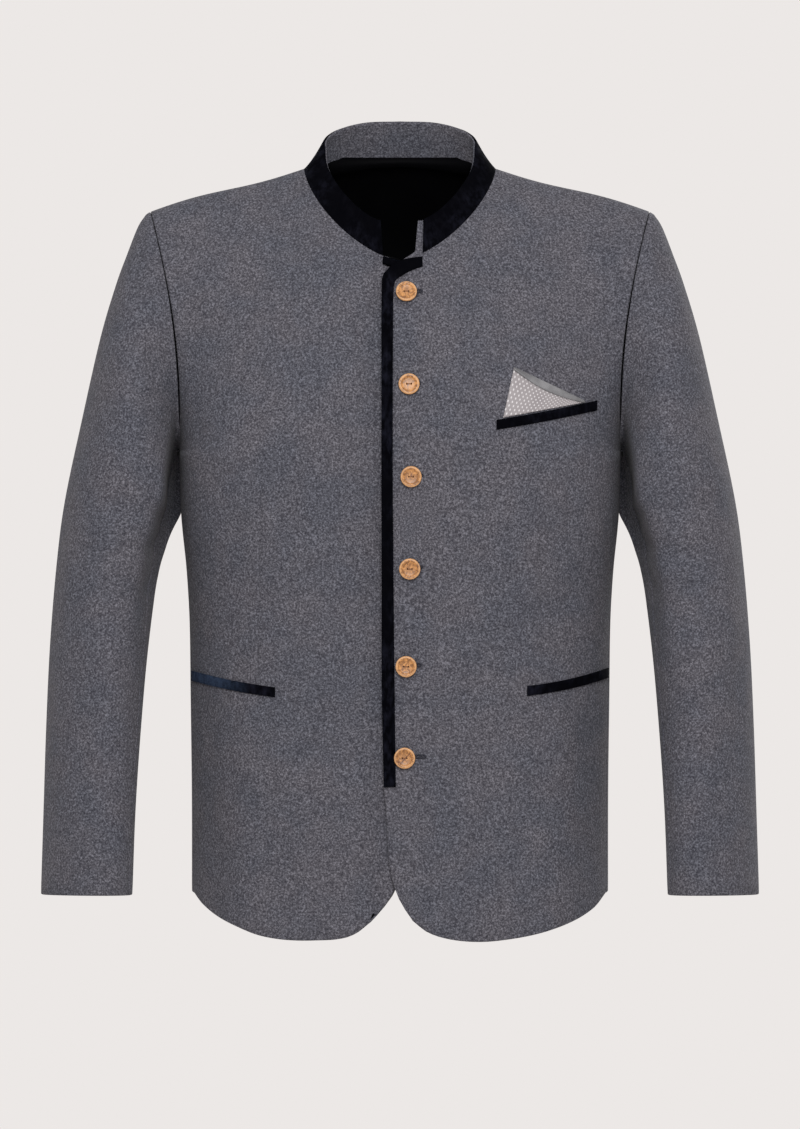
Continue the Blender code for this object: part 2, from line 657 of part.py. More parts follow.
def main():
    """Build the jacket."""
    clear_scene()
    collection = new_collection("tyrolean_loden_jacket")
    cutters = new_collection("cutters")
    loden = new_material("grey_loden", (0.098, 0.098, 0.114), 0.95)
    velvet = new_material("navy_velvet", (0.004, 0.005, 0.012), 0.9)
    lining = new_material("black_lining", (0.003, 0.003, 0.004), 0.6)
    silk = new_material("dotted_silk", (0.45, 0.41, 0.43), 0.6)
    horn = new_material("stag_horn", (0.55, 0.29, 0.12), 0.45)
    build_body(loden, collection)
    build_collar(loden, velvet, lining, collection)
    build_trims(velvet, silk, collection)
    build_buttons(horn, collection, cutters)


main()
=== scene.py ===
"""Visual model of the tyrolean loden jacket, laid out as a Blender add-on.

Metres, Z up.  The front faces -Y and the wearer's left is +X.  The cloth pieces follow the same form as
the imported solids, on finer meshes, with rolled seams, darts and soft creases.
"""
import math

import bpy
import bmesh
from mathutils import Matrix, Vector, noise


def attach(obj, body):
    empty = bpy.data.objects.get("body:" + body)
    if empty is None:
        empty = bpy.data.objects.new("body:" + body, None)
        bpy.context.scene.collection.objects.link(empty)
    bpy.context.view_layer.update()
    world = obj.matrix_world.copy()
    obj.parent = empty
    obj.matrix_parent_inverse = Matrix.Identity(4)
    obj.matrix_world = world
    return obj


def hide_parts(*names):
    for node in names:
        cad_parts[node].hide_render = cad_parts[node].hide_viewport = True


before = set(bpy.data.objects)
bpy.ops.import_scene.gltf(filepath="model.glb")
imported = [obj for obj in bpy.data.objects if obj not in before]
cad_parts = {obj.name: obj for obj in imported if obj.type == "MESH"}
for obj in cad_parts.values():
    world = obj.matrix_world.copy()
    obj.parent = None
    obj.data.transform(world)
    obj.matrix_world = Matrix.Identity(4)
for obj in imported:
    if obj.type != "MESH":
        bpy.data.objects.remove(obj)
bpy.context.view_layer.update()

bl_info = {
    "name": "Tyrolean Loden Jacket",
    "version": (1, 0, 0),
    "blender": (4, 5, 0),
    "location": "3D View > Sidebar > Jacket",
    "description": "Builds the cloth, trims and buttons of a tyrolean loden jacket",
    "category": "Object",
}

# ---- form of the jacket, the same as the solids' but for the fold inside the sleeves -------------------

# trunk rows: drop below the neck, half width, front depth, back depth, side seam's shift, squareness
TRUNK = (
    (0.270, 0.2100, 0.1235, 0.1140, 0.000, 0.62),
    (0.330, 0.2086, 0.1242, 0.1060, 0.008, 0.70),
    (0.380, 0.2036, 0.1238, 0.0990, 0.014, 0.78),
    (0.430, 0.2006, 0.1232, 0.0960, 0.018, 0.84),
    (0.500, 0.1996, 0.1232, 0.1020, 0.022, 0.86),
    (0.600, 0.1984, 0.1255, 0.1160, 0.024, 0.88),
    (0.740, 0.1984, 0.1290, 0.1240, 0.024, 0.88),
)
UNDERARM = -0.270
SIDE_HEM = -0.690
BACK_HEM = -0.680
TIP_X, TIP_Y, TIP_Z = 0.2380, 0.010, -0.041
UNDERARM_X = 0.2100
ARMHOLE_FRONT, ARMHOLE_BACK = 0.060, 0.065
SCOOP_FRONT, SCOOP_BACK = 0.0093, 0.004
SHOULDER_BEND = 0.62
SHOULDER_WAVE = 0.0018
CENTRE_TOP = 0.0148
CENTRE_ROUND = 0.25
SHOULDER_Y = 0.004
FRONT_FALL = 1.5
BACK_CENTRE = ((-0.15, 0.1050), (0.0, 0.1140), (0.112, 0.1180), (0.252, 0.1195), (0.465, 0.1090),
               (0.638, 0.0900), (0.871, 0.0580), (1.0, 0.0040))
SHOULDER_SQUARENESS = 0.82
NECK_HALF_WIDTH = 0.0912
NECK_DROP = 0.0890
NECK_POWER = 4 / 3
NAPE_ROW = 0.871

# front edges and hems as (height, distance past the centre line) and (distance, height)
LEFT_EDGE = (
    (-0.7138, 0.0118), (-0.6978, 0.0011), (-0.6818, -0.0055), (-0.6659, -0.0095), (-0.6418, -0.0117),
    (-0.6070, -0.0135), (-0.5890, -0.0154), (-0.5200, -0.0172), (-0.1180, -0.0176), (-0.1053, -0.0166),
    (-0.0988, -0.0123), (-0.0928, -0.0058), (-0.0884, 0.0032),
)
RIGHT_EDGE = (
    (-0.7100, 0.0220), (-0.7004, 0.0149), (-0.6845, 0.0048), (-0.6700, -0.0040), (-0.6550, -0.0120),
    (-0.6350, -0.0200), (-0.6100, -0.0260), (-0.5750, -0.0300), (-0.1180, -0.0300), (-0.1040, -0.0250),
    (-0.0960, -0.0160), (-0.0905, -0.0060), (-0.0884, 0.0032),
)
LEFT_HEM = (
    (0.0118, -0.7138), (0.0251, -0.7245), (0.0438, -0.7311), (0.0704, -0.7344), (0.0971, -0.7330),
    (0.1318, -0.7271), (0.1638, -0.7165), (0.1851, -0.7040), (0.1970, -0.6900),
)
RIGHT_HEM = (
    (0.0220, -0.7100), (0.0282, -0.7165), (0.0495, -0.7298), (0.0815, -0.7330), (0.1109, -0.7325),
    (0.1348, -0.7285), (0.1562, -0.7205), (0.1748, -0.7112), (0.1890, -0.7000), (0.1970, -0.6900),
)
LAP_DEPTH = 0.0064
LAP_FADE = (0.020, 0.080)
# the under front sinks a little beside the edge that lies over it
LAP_HOLLOW = (0.0034, 0.0230, 0.0090)
FRONT_WARP = ((0.0, 0.0), (0.5, 0.345), (0.5625, 0.405), (0.625, 0.4405), (0.6875, 0.471), (0.75, 0.51),
              (0.8125, 0.585), (0.875, 0.698), (0.9375, 0.83), (1.0, 1.0))
BACK_WARP = ((0.0, 0.0), (0.25, 0.27), (0.625, 0.78), (0.6875, 0.871), (0.75, 0.8788), (0.8125, 0.9012),
             (0.875, 0.9297), (0.9375, 0.9644), (1.0, 1.0))

# sleeve rings: outer x, z, inner x, z, half depth, how far the ring hangs forward
SLEEVE = (
    (0.2424, -0.0440, 0.2105, -0.2730, 0.0620, 0.000),
    (0.2500, -0.0560, 0.2100, -0.2780, 0.0650, 0.002),
    (0.2606, -0.0832, 0.2096, -0.2860, 0.0690, 0.005),
    (0.2706, -0.1110, 0.2092, -0.2950, 0.0715, 0.009),
    (0.2852, -0.1610, 0.2090, -0.3070, 0.0735, 0.014),
    (0.3025, -0.2380, 0.2088, -0.3270, 0.0740, 0.020),
    (0.3190, -0.3164, 0.2200, -0.3520, 0.0720, 0.023),
    (0.3268, -0.3760, 0.2310, -0.3930, 0.0690, 0.026),
    (0.3330, -0.4520, 0.2395, -0.4580, 0.0650, 0.031),
    (0.3366, -0.5300, 0.2460, -0.5330, 0.0600, 0.038),
    (0.3390, -0.6100, 0.2510, -0.6110, 0.0550, 0.047),
    (0.3414, -0.6910, 0.2538, -0.6910, 0.0500, 0.056),
)
# the sleeve's inner side is folded back behind its front: turn, then shifts of the turn across and in depth
FOLD = ((0.0, 0.0, 0.0), (0.340, 0.0, 0.0), (0.355, 0.0, 0.0), (0.375, -0.008, 0.012),
        (0.40625, -0.030, 0.072), (0.4375, -0.0525, 0.1225), (0.46875, -0.0388, 0.1463), (0.5, 0.0, 0.135),
        (0.53125, 0.014, 0.119), (0.625, 0.0, 0.065), (0.71875, 0.0, 0.0213),
        (0.78, 0.0, 0.0), (1.0, 0.0, 0.0))
FOLD_RINGS = ((0.0, 0.0), (1.0, 0.35), (2.0, 0.8), (3.0, 1.1), (4.0, 1.25), (5.5, 1.25), (6.5, 1.0),
              (7.5, 0.55), (8.5, 0.2), (9.5, 0.0), (12.0, 0.0))
FRONT_SEAM_TURN = 14 / 32
BACK_SEAM_TURN = 23 / 32
SLEEVE_START = 0.0004

# collar: angle round the neck from the nape, then the top edge there
COLLAR_TOP = (
    (0, 0.0000, 0.0450, 0.0468), (26, 0.0330, 0.0420, 0.0456), (55, 0.0600, 0.0290, 0.0388),
    (72, 0.0716, 0.0170, 0.0299), (90, 0.0718, 0.0040, 0.0195), (107, 0.0690, -0.0130, 0.0015),
    (120, 0.0594, -0.0300, -0.0160), (136, 0.0465, -0.0455, -0.0315), (150, 0.0335, -0.0560, -0.0432),
    (161, 0.0216, -0.0620, -0.0498), (165, 0.0172, -0.0635, -0.0500), (180, -0.0014, -0.0660, -0.0500),
)
COLLAR_END_LEFT, COLLAR_END_RIGHT = 160.2, 163.8
INNER_END, INNER_END_RIGHT = 164.8, 162.6
TONGUE = ((0.0, 1.0), (0.05, 0.26), (0.10, 0.21), (0.35, 0.16), (0.6, 0.12), (1.0, 0.02))

# velvet strip on the left edge: its border and its edge, then the short one of the under front
STRIP_BORDER = (
    (-0.0039, -0.5880), (-0.0050, -0.5000), (-0.0060, -0.4000), (-0.0068, -0.3000), (-0.0068, -0.2200),
    (-0.0066, -0.1600), (-0.0062, -0.1220), (-0.0047, -0.1100), (-0.0018, -0.1066), (0.0019, -0.1042),
    (0.0095, -0.0998), (0.0215, -0.0952),
)
STRIP_EDGE = (
    (-0.0154, -0.5880), (-0.0172, -0.5000), (-0.0174, -0.4000), (-0.0176, -0.3000), (-0.0176, -0.2200),
    (-0.0176, -0.1600), (-0.0174, -0.1200), (-0.0166, -0.1053), (-0.0123, -0.0988), (-0.0058, -0.0928),
    (0.0040, -0.0886), (0.0212, -0.0858),
)
UNDER_EDGE = ((0.0150, -0.0856), (0.0110, -0.0872), (0.0070, -0.0884), (0.0030, -0.0894), (0.0005, -0.0899))
UNDER_BORDER = ((0.0158, -0.0935), (0.0115, -0.0952), (0.0073, -0.0964), (0.0032, -0.0972), (0.0006, -0.0976))
STRIP_LAY = 0.0006

# welts: inner end x, z, outer end x, z at mid height, sag
WELT_HEIGHT = 0.0095
CHEST_WELT = (0.0912, -0.2455, 0.1860, -0.2268, 0.0010)
HIP_WELT_LEFT = (0.1200, -0.4972, 0.1972, -0.4805, 0.0022)
HIP_WELT_RIGHT = (0.1180, -0.4985, 0.1972, -0.4832, 0.0014)

SQUARE_FOOT_IN, SQUARE_PEAK = (0.0974, -0.2388), (0.1077, -0.1914)
SQUARE_FOOT_OUT, SQUARE_TIP = (0.1745, -0.2240), (0.1738, -0.2225)

# buttons, and how far each stitched buttonhole shows past the button's rim
BUTTONS = ((0.0060, -0.1201, 0.0050), (0.0085, -0.2073, 0.0006), (0.0105, -0.2946, 0.0006),
           (0.0092, -0.3818, 0.0016), (0.0057, -0.4741, 0.0042), (0.0043, -0.5607, 0.0098))
BUTTON_RADIUS = 0.0100
BUTTON_HEIGHT = 0.0036
BUTTON_STAND = 0.0016
SHANK_RADIUS = 0.0021
HOLE_OFFSET = 0.00205
BUTTONHOLE_RISE = 0.0016
# a stitch over the buttonhole's edge: distance past the edge, height above the cloth
STITCH = ((-0.0008, 0.00018), (-0.0004, 0.00062), (0.0003, 0.00062), (0.0009, 0.00018))
LAY = 0.0003

LINING_INSET = 0.0065
LINING_LOW = 0.25
LINING_REACH = 1.10

# ---- surface detail --------------------------------------------------------------------------------------

# darts as upper and lower ends on each side
DARTS = {1: ((0.1320, -0.3000), (0.1356, -0.4900)), -1: ((0.1312, -0.2850), (0.1357, -0.4900))}

# soft creases on the fronts: side (0 is both), start x, z, end x, z, width, height (a trough is negative)
FRONT_CREASES = (
    (0, 0.200, -0.100, 0.192, -0.235, 0.011, -0.0016),
    (0, 0.098, -0.220, 0.105, -0.400, 0.036, 0.0018),
    (0, 0.150, -0.530, 0.147, -0.740, 0.017, 0.0024),
    (0, 0.183, -0.515, 0.178, -0.720, 0.011, -0.0026),
    (-1, 0.062, -0.530, 0.050, -0.740, 0.022, -0.0022),
    (1, 0.092, -0.545, 0.070, -0.740, 0.020, -0.0018),
    (-1, 0.105, -0.515, 0.085, -0.570, 0.011, -0.0011),
    (1, 0.108, -0.520, 0.080, -0.560, 0.011, -0.0010),
    (0, 0.188, -0.270, 0.160, -0.345, 0.014, -0.0014),
    (-1, 0.172, -0.385, 0.125, -0.415, 0.013, -0.0012),
    (1, 0.176, -0.395, 0.130, -0.432, 0.013, -0.0012),
    (0, 0.150, -0.055, 0.185, -0.115, 0.018, -0.0009),
)
BACK_CREASES = (
    (0, 0.060, -0.180, 0.085, -0.380, 0.026, -0.0044),
    (0, 0.105, -0.150, 0.120, -0.300, 0.028, 0.0034),
    (0, 0.030, -0.030, 0.090, -0.055, 0.012, -0.0024),
    (0, 0.040, -0.400, 0.130, -0.425, 0.014, -0.0037),
    (0, 0.050, -0.445, 0.150, -0.460, 0.016, -0.0031),
    (0, 0.075, -0.500, 0.085, -0.680, 0.022, -0.0044),
    (0, 0.150, -0.500, 0.160, -0.680, 0.020, 0.0037),
    (1, 0.160, -0.300, 0.110, -0.380, 0.014, -0.0031),
    (-1, 0.165, -0.320, 0.120, -0.400, 0.014, -0.0027),
)
# soft creases on the sleeves: side, start ring, turn, end ring, turn, width, height
SLEEVE_CREASES = (
    (0, 6.5, 0.36, 6.9, 0.20, 0.012, -0.0024),
    (0, 7.3, 0.40, 7.7, 0.22, 0.011, -0.0030),
    (0, 8.2, 0.40, 8.4, 0.25, 0.012, -0.0024),
    (0, 7.0, 0.12, 8.6, 0.14, 0.020, 0.0016),
    (1, 9.3, 0.12, 10.8, 0.20, 0.016, -0.0018),
    (-1, 9.0, 0.16, 10.6, 0.24, 0.016, -0.0018),
    (0, 2.0, 0.10, 4.2, 0.16, 0.014, -0.0016),
    (0, 3.4, 0.26, 5.6, 0.30, 0.018, -0.0020),
    (0, 6.8, 0.62, 7.4, 0.80, 0.013, -0.0026),
    (0, 7.8, 0.60, 8.1, 0.78, 0.013, -0.0024),
    (0, 3.0, 0.84, 5.5, 0.74, 0.016, -0.0020),
)

# depth of the seam allowance turned inside, the walls, and the roll of a velvet edge
ALLOWANCE = 0.0035
LODEN_WALL = 0.0020
VELVET_WALL = 0.0012
SATIN_WALL = 0.0010
VELVET_ROLL = 0.0011
SEAM_GAP = 0.0003
NECK_GAP = 0.0005


# ---- reading the form ------------------------------------------------------------------------------------

def smooth(table, key, column=1):
    """Read a column of a table at a key, along a smooth curve through its rows."""
    keys = [row[0] for row in table]
    if key <= keys[0]:
        return table[0][column]
    if key >= keys[-1]:
        return table[-1][column]
    i = max(k for k in range(len(keys) - 1) if keys[k] <= key)

    def slope(k):
        low, high = max(k - 1, 0), min(k + 1, len(keys) - 1)
        return (table[high][column] - table[low][column]) / (keys[high] - keys[low])

    span = keys[i + 1] - keys[i]
    f = (key - keys[i]) / span
    start, end = table[i][column], table[i + 1][column]
    bend_in, bend_out = slope(i) * span, slope(i + 1) * span
    return (start * (2 * f ** 3 - 3 * f ** 2 + 1) + bend_in * (f ** 3 - 2 * f ** 2 + f)
            + end * (3 * f ** 2 - 2 * f ** 3) + bend_out * (f ** 3 - f ** 2))


def ease(f):
    """Go from 0 to 1 with flat ends."""
    f = min(max(f, 0.0), 1.0)
    return f * f * (3 - 2 * f)


def signed_power(value, power):
    """Raise the size of a number to a power and keep its sign."""
    return math.copysign(abs(value) ** power, value)


def armhole(angle):
    """Return the armhole ring's point: 0 at the shoulder tip, a quarter turn in front, a half below."""
    across, down = math.sin(angle), math.cos(angle)
    scoop = SCOOP_FRONT if across > 0 else SCOOP_BACK
    depth = ARMHOLE_FRONT if across > 0 else ARMHOLE_BACK
    x = (TIP_X + UNDERARM_X) / 2 + (TIP_X - UNDERARM_X) / 2 * down - scoop * across ** 2
    y = TIP_Y * (1 + down) / 2 - depth * across
    z = (TIP_Z + UNDERARM) / 2 + (TIP_Z - UNDERARM) / 2 * down
    return Vector((x, y, z))


def yoke_row(back, t):
    """Return a yoke row's centre y and z, its armhole end and its bend; t is 0 at the underarm."""
    angle = math.pi * (1 - t)
    end = armhole(-angle if back else angle)
    centre_z = UNDERARM + (CENTRE_TOP - UNDERARM) * math.sin(math.pi / 2 * t)
    centre_y = SHOULDER_Y - (TRUNK[0][2] + SHOULDER_Y) * max(math.cos(math.pi / 2 * t), 0.0) ** FRONT_FALL
    if back:
        centre_y = smooth(BACK_CENTRE, t)
    return centre_y, centre_z, end, math.pi / 2 - SHOULDER_BEND * t


def yoke_height(back, x, t):
    """Return the height of the yoke's surface at x in row t."""
    _, centre_z, end, _ = yoke_row(back, t)
    fall = math.hypot(x / end.x, CENTRE_ROUND) - CENTRE_ROUND
    fall /= math.hypot(1.0, CENTRE_ROUND) - CENTRE_ROUND
    along = (abs(x) - NECK_HALF_WIDTH) / (TIP_X - NECK_HALF_WIDTH)
    wave = -SHOULDER_WAVE * math.sin(2 * math.pi * min(max(along, 0.0), 1.0)) * t ** 4
    return centre_z + (end.z - centre_z) * fall + wave


def yoke_power(t):
    """Return how square a yoke row is."""
    return TRUNK[0][5] + (SHOULDER_SQUARENESS - TRUNK[0][5]) * t


def yoke_point(back, x, t):
    """Return the yoke's surface point at x in row t."""
    centre_y, _, end, bend = yoke_row(back, t)
    power = yoke_power(t)
    reach = min(abs(x) / end.x, 1.0) ** (1 / power)
    turn = math.asin(math.sin(bend) * reach)
    low = max(math.cos(bend), 0.0) ** power
    share = (max(math.cos(turn), 0.0) ** power - low) / (1 - low)
    return Vector((x, end.y + (centre_y - end.y) * share, yoke_height(back, x, t)))


def front_surface(x, z):
    """Return the front's surface point that is seen at x, z, each half on its own positive side."""
    if z <= UNDERARM:
        half, depth, power = smooth(TRUNK, -z, 1), smooth(TRUNK, -z, 2), 2 / smooth(TRUNK, -z, 5)
        share = max(1 - (min(abs(x) / half, 1.0)) ** power, 0.0) ** (1 / power)
        return Vector((x, -depth * share, z))
    low, high = 0.0, 1.0
    for _ in range(40):
        middle = (low + high) / 2
        if yoke_height(False, x, middle) < z:
            low = middle
        else:
            high = middle
    return yoke_point(False, x, (low + high) / 2)


def lap(side, x):
    """Return how far the right front is pushed in where the left front lies over it."""
    if side > 0:
        return 0.0
    depth, middle, width = LAP_HOLLOW
    hollow = depth * math.exp(-((x - middle) / width) ** 2)
    return LAP_DEPTH * (1 - ease((x - LAP_FADE[0]) / (LAP_FADE[1] - LAP_FADE[0]))) + hollow


def crease_height(creases, side, across, along, across_scale=1.0, along_scale=1.0):
    """Add up the soft creases at a place: each is a ridge or trough along a line, fading past its ends."""
    height = 0.0
    for chosen, a0, b0, a1, b1, width, rise in creases:
        if chosen and chosen != side:
            continue
        run_a, run_b = (a1 - a0) * across_scale, (b1 - b0) * along_scale
        off_a, off_b = (across - a0) * across_scale, (along - b0) * along_scale
        length = math.hypot(run_a, run_b)
        share = (off_a * run_a + off_b * run_b) / length ** 2
        beside = (off_a * run_b - off_b * run_a) / length
        past = max(-share, share - 1, 0.0) * length
        height += rise * math.exp(-(beside / width) ** 2 - (past / (width * 2.2)) ** 2)
    return height


def front_relief(side, x, z):
    """Return how far the front's cloth stands proud of its form."""
    depth = bpy.context.scene.jacket_cloth.crease_strength
    return crease_height(FRONT_CREASES, side, x, z) * ease((x - 0.030) / 0.030) * depth


def back_relief(side, x, z):
    """Return how far the back's cloth stands proud of its form."""
    depth = bpy.context.scene.jacket_cloth.crease_strength
    return crease_height(BACK_CREASES, side, x, z) * ease((x - 0.008) / 0.030) * depth


def on_front(side, x, z, lift):
    """Return the place a given height above the front cloth at x, z on one side of the jacket."""
    step = 0.0008

    def depth(px, pz):
        return front_surface(px, pz).y + lap(side, px) - front_relief(side, px, pz)

    slope_x = (depth(x + step, z) - depth(x - step, z)) / (2 * step)
    slope_z = (depth(x, z + step) - depth(x, z - step)) / (2 * step)
    normal = Vector((slope_x, -1.0, slope_z)).normalized()
    place = Vector((x, depth(x, z), z)) + normal * lift
    return Vector((place.x * side, place.y, place.z))


def neck_point(side, angle):
    """Return the neckline at an angle round the neck from the nape."""
    angle = min(angle, math.pi)
    if angle <= math.pi / 2:
        t = 1 - (1 - NAPE_ROW) * math.cos(angle)
        point = yoke_point(True, NECK_HALF_WIDTH * math.sin(angle), t)
    else:
        x = NECK_HALF_WIDTH * signed_power(math.sin(angle), NECK_POWER)
        z = -NECK_DROP * abs(math.cos(angle)) ** NECK_POWER
        point = front_surface(x, min(z, -0.0002))
        point.y += lap(side, x)
    return Vector((point.x * side, point.y, point.z))


def edge_x(edge, z):
    """Return where a front ends at a height: its front edge, then the neckline above it."""
    if z <= edge[-1][0]:
        return smooth(edge, z)
    depth = min(max(-z / NECK_DROP, 0.0), 1.0)
    return NECK_HALF_WIDTH * (1 - depth ** (2 / NECK_POWER)) ** (NECK_POWER / 2)


def neck_row_x(edge, t):
    """Return where a yoke row of a front meets its edge or the neckline."""
    low, high = -0.035, NECK_HALF_WIDTH
    for _ in range(40):
        middle = (low + high) / 2
        if middle < edge_x(edge, yoke_height(False, middle, t)):
            low = middle
        else:
            high = middle
    return (low + high) / 2


def columns(first, last, count, power):
    """Return shares from 0 to 1 that space points evenly round a curved section."""
    spread = [signed_power(math.sin(first + (last - first) * i / count), power) for i in range(count + 1)]
    return [(value - spread[0]) / (spread[-1] - spread[0]) for value in spread]


def front_rows(side, trunk_count, yoke_count, count):
    """Return a front's grid from the hem to the shoulder, each row from the edge to the side."""
    edge, hem = (LEFT_EDGE, LEFT_HEM) if side > 0 else (RIGHT_EDGE, RIGHT_HEM)
    corner_z, corner_x = edge[0]
    rows = []
    for v in [i / trunk_count for i in range(trunk_count)]:
        left_z = corner_z + (UNDERARM - corner_z) * v
        right_z = SIDE_HEM + (UNDERARM - SIDE_HEM) * v
        half, depth, power = (smooth(TRUNK, -right_z, column) for column in (1, 2, 5))
        seam_turn = math.acos((smooth(TRUNK, -right_z, 4) / depth) ** (1 / power))
        left_x, right_x = edge_x(edge, left_z), half * math.sin(seam_turn) ** power
        first = math.asin(signed_power(left_x / half, 1 / power))
        row = []
        for u in columns(first, seam_turn, count, power):
            hem_x = corner_x + (hem[-1][0] - corner_x) * u
            sag = smooth(hem, hem_x) - (corner_z + (hem[-1][1] - corner_z) * u)
            z = left_z + (right_z - left_z) * u + sag * (1 - v) ** 2
            row.append(front_surface(left_x + (right_x - left_x) * u, z))
        rows.append(row)
    for i in range(yoke_count + 1):
        outer_t = i / yoke_count
        inner_t = smooth(FRONT_WARP, outer_t)
        left_x, (_, _, end, bend) = neck_row_x(edge, inner_t), yoke_row(False, outer_t)
        power = yoke_power(outer_t)
        first = math.asin(signed_power(left_x / end.x, 1 / power) * math.sin(bend))
        rows.append([yoke_point(False, left_x + (end.x - left_x) * u, inner_t + (outer_t - inner_t) * u)
                     for u in columns(first, bend, count, power)])
    for row in rows:
        for point in row:
            point.y += lap(side, point.x) - front_relief(side, point.x, point.z)
            point.x *= side
    return rows


def back_trunk_point(turn, z):
    """Return the trunk's surface at an angle round the body from the centre back."""
    half, front, back, power = (smooth(TRUNK, -z, column) for column in (1, 2, 3, 5))
    depth = back if turn < math.pi / 2 else front
    return Vector((half * math.sin(turn) ** power, depth * signed_power(math.cos(turn), power), z))


def back_rows(side, trunk_count, yoke_count, count):
    """Return a back's grid from the hem to the shoulder, each row from the centre seam to the side."""
    rows = []
    for v in [i / trunk_count for i in range(trunk_count)]:
        side_z = SIDE_HEM + (UNDERARM - SIDE_HEM) * v
        centre_z = BACK_HEM + (UNDERARM - BACK_HEM) * v
        seam = smooth(TRUNK, -side_z, 4) / smooth(TRUNK, -side_z, 2)
        last = math.pi - math.acos(seam ** (1 / smooth(TRUNK, -side_z, 5)))
        rows.append([back_trunk_point(last * i / count, centre_z + (side_z - centre_z) * i / count)
                     for i in range(count + 1)])
    for i in range(yoke_count + 1):
        outer_t = i / yoke_count
        inner_t = smooth(BACK_WARP, outer_t)
        left_x = NECK_HALF_WIDTH * math.sqrt(max(1 - ((1 - inner_t) / (1 - NAPE_ROW)) ** 2, 0.0))
        _, _, end, bend = yoke_row(True, outer_t)
        power = yoke_power(outer_t)
        first = math.asin((left_x / end.x) ** (1 / power) * math.sin(bend))
        rows.append([yoke_point(True, left_x + (end.x - left_x) * u, inner_t + (outer_t - inner_t) * u)
                     for u in columns(first, bend, count, power)])
    for row in rows:
        for point in row:
            point.y += back_relief(side, point.x, point.z) * ease(point.y / 0.05)
            point.x *= side
    return rows


def sleeve_ring(side, ring, turn):
    """Return a sleeve's point: ring 0 lies along the armhole, the turn runs from the outside forwards."""
    angle = 2 * math.pi * turn
    across, out = math.sin(angle), math.cos(angle)
    scoop = SCOOP_FRONT if across > 0 else SCOOP_BACK
    start = armhole(angle) + Vector((SLEEVE_START, 0.0, 0.0))
    if ring <= 0:
        return Vector((start.x * side, start.y, start.z))
    table = [(i + 1, *row) for i, row in enumerate(SLEEVE)]
    outer_x, outer_z, inner_x, inner_z, depth, forward = (
        smooth(table, ring, column) for column in range(1, 7))
    round_off = armhole(angle).y + depth * across
    share = smooth(FOLD_RINGS, ring)
    out_here = math.cos(angle + 2 * math.pi * smooth(FOLD, turn % 1.0, 1) * share)
    across_here = math.sin(angle + 2 * math.pi * smooth(FOLD, turn % 1.0, 2) * share)
    point = Vector(((outer_x + inner_x) / 2 + (outer_x - inner_x) / 2 * out_here,
                    -depth * across_here - forward * (1 - out * 0.3) + round_off * max(1 - ring / 5, 0.0),
                    (outer_z + inner_z) / 2 + (outer_z - inner_z) / 2 * out))
    if ring < 4:
        point.x -= scoop * across ** 2 * (1 - ring / 4) ** 1.5
    if ring < 1:
        point = start.lerp(point, ring)
    return Vector((point.x * side, point.y, point.z))


def sleeve_rows(side, first, last, ring_steps, count):
    """Return the grid of one sleeve piece between two seams, from the armhole to the cuff."""
    rings = [0.0, 0.5] + [1 + 11 * i / ring_steps for i in range(ring_steps + 1)]
    rows = []
    for ring in rings:
        row = []
        for i in range(count + 1):
            turn = first + (last - first) * i / count
            point, here = sleeve_ring(side, ring, turn), turn % 1.0
            rise = crease_height(SLEEVE_CREASES, side, ring, here, 0.055, 0.36)
            rise *= ease((ring - 0.8) / 1.2) * bpy.context.scene.jacket_cloth.crease_strength
            angle = 2 * math.pi * turn
            row.append(point + Vector((math.cos(angle) * side, -math.sin(angle), 0.0)) * rise)
        rows.append(row)
    return rows


def collar_column(side, degrees, lift, inward, count, rise=1.0):
    """Return one column of the collar from its seam to its top edge, moved up and in by distances."""
    base = neck_point(side, math.radians(degrees))
    top = Vector([smooth(COLLAR_TOP, degrees, column) for column in (1, 2, 3)])
    top.x *= side
    up = (top - base).normalized()
    nearer, further = (neck_point(side, math.radians(degrees + turn)) for turn in (-2, 2))
    away = up.cross(further - nearer).normalized() * side
    low = base + up * lift
    return [low + (top - low) * rise * i / count - away * inward for i in range(count + 1)]


def collar_rows(lift, inward, ends, count, stations, tongue=()):
    """Return the collar's grid all the way round from the right end to the left end."""
    right_end, left_end = ends
    band = [collar_column(-1, right_end * i / stations, lift, inward, count) for i in range(stations, 0, -1)]
    band += [collar_column(1, left_end * i / stations, lift, inward, count) for i in range(stations + 1)]
    for i in range(1, 21) if tongue else ():
        turn = left_end + (180 - left_end) * i / 20
        band.append(collar_column(1, turn, lift, inward, count, smooth(tongue, i / 20)))
    return [list(row) for row in zip(*band)]


def along_path(path, f):
    """Return the point a share of the way along a path, counted in its points."""
    numbered = [(i, *point) for i, point in enumerate(path)]
    key = f * (len(path) - 1)
    return smooth(numbered, key, 1), smooth(numbered, key, 2)


def strip_rows(side, edge, border, count, across, lift):
    """Return a grid laid on a front between an edge and a border."""
    rows = []
    for j in range(count + 1):
        (start_x, start_z), (end_x, end_z) = along_path(edge, j / count), along_path(border, j / count)
        rows.append([on_front(side, start_x + (end_x - start_x) * i / across,
                              start_z + (end_z - start_z) * i / across, lift) for i in range(across + 1)])
    return rows


def welt_rows(side, welt, count, lift):
    """Return the grid of a pocket welt laid on a front, closer together where it turns to the side."""
    inner_x, inner_z, outer_x, outer_z, sag = welt
    rows = []
    for level in (-0.5, -0.25, 0.0, 0.25, 0.5):
        row = []
        for i in range(count + 1):
            f = 1 - (1 - i / count) ** 1.4
            z = inner_z + (outer_z - inner_z) * f - sag * math.sin(math.pi * f) + level * WELT_HEIGHT
            row.append(on_front(side, inner_x + (outer_x - inner_x) * f, z, lift))
        rows.append(row)
    return rows


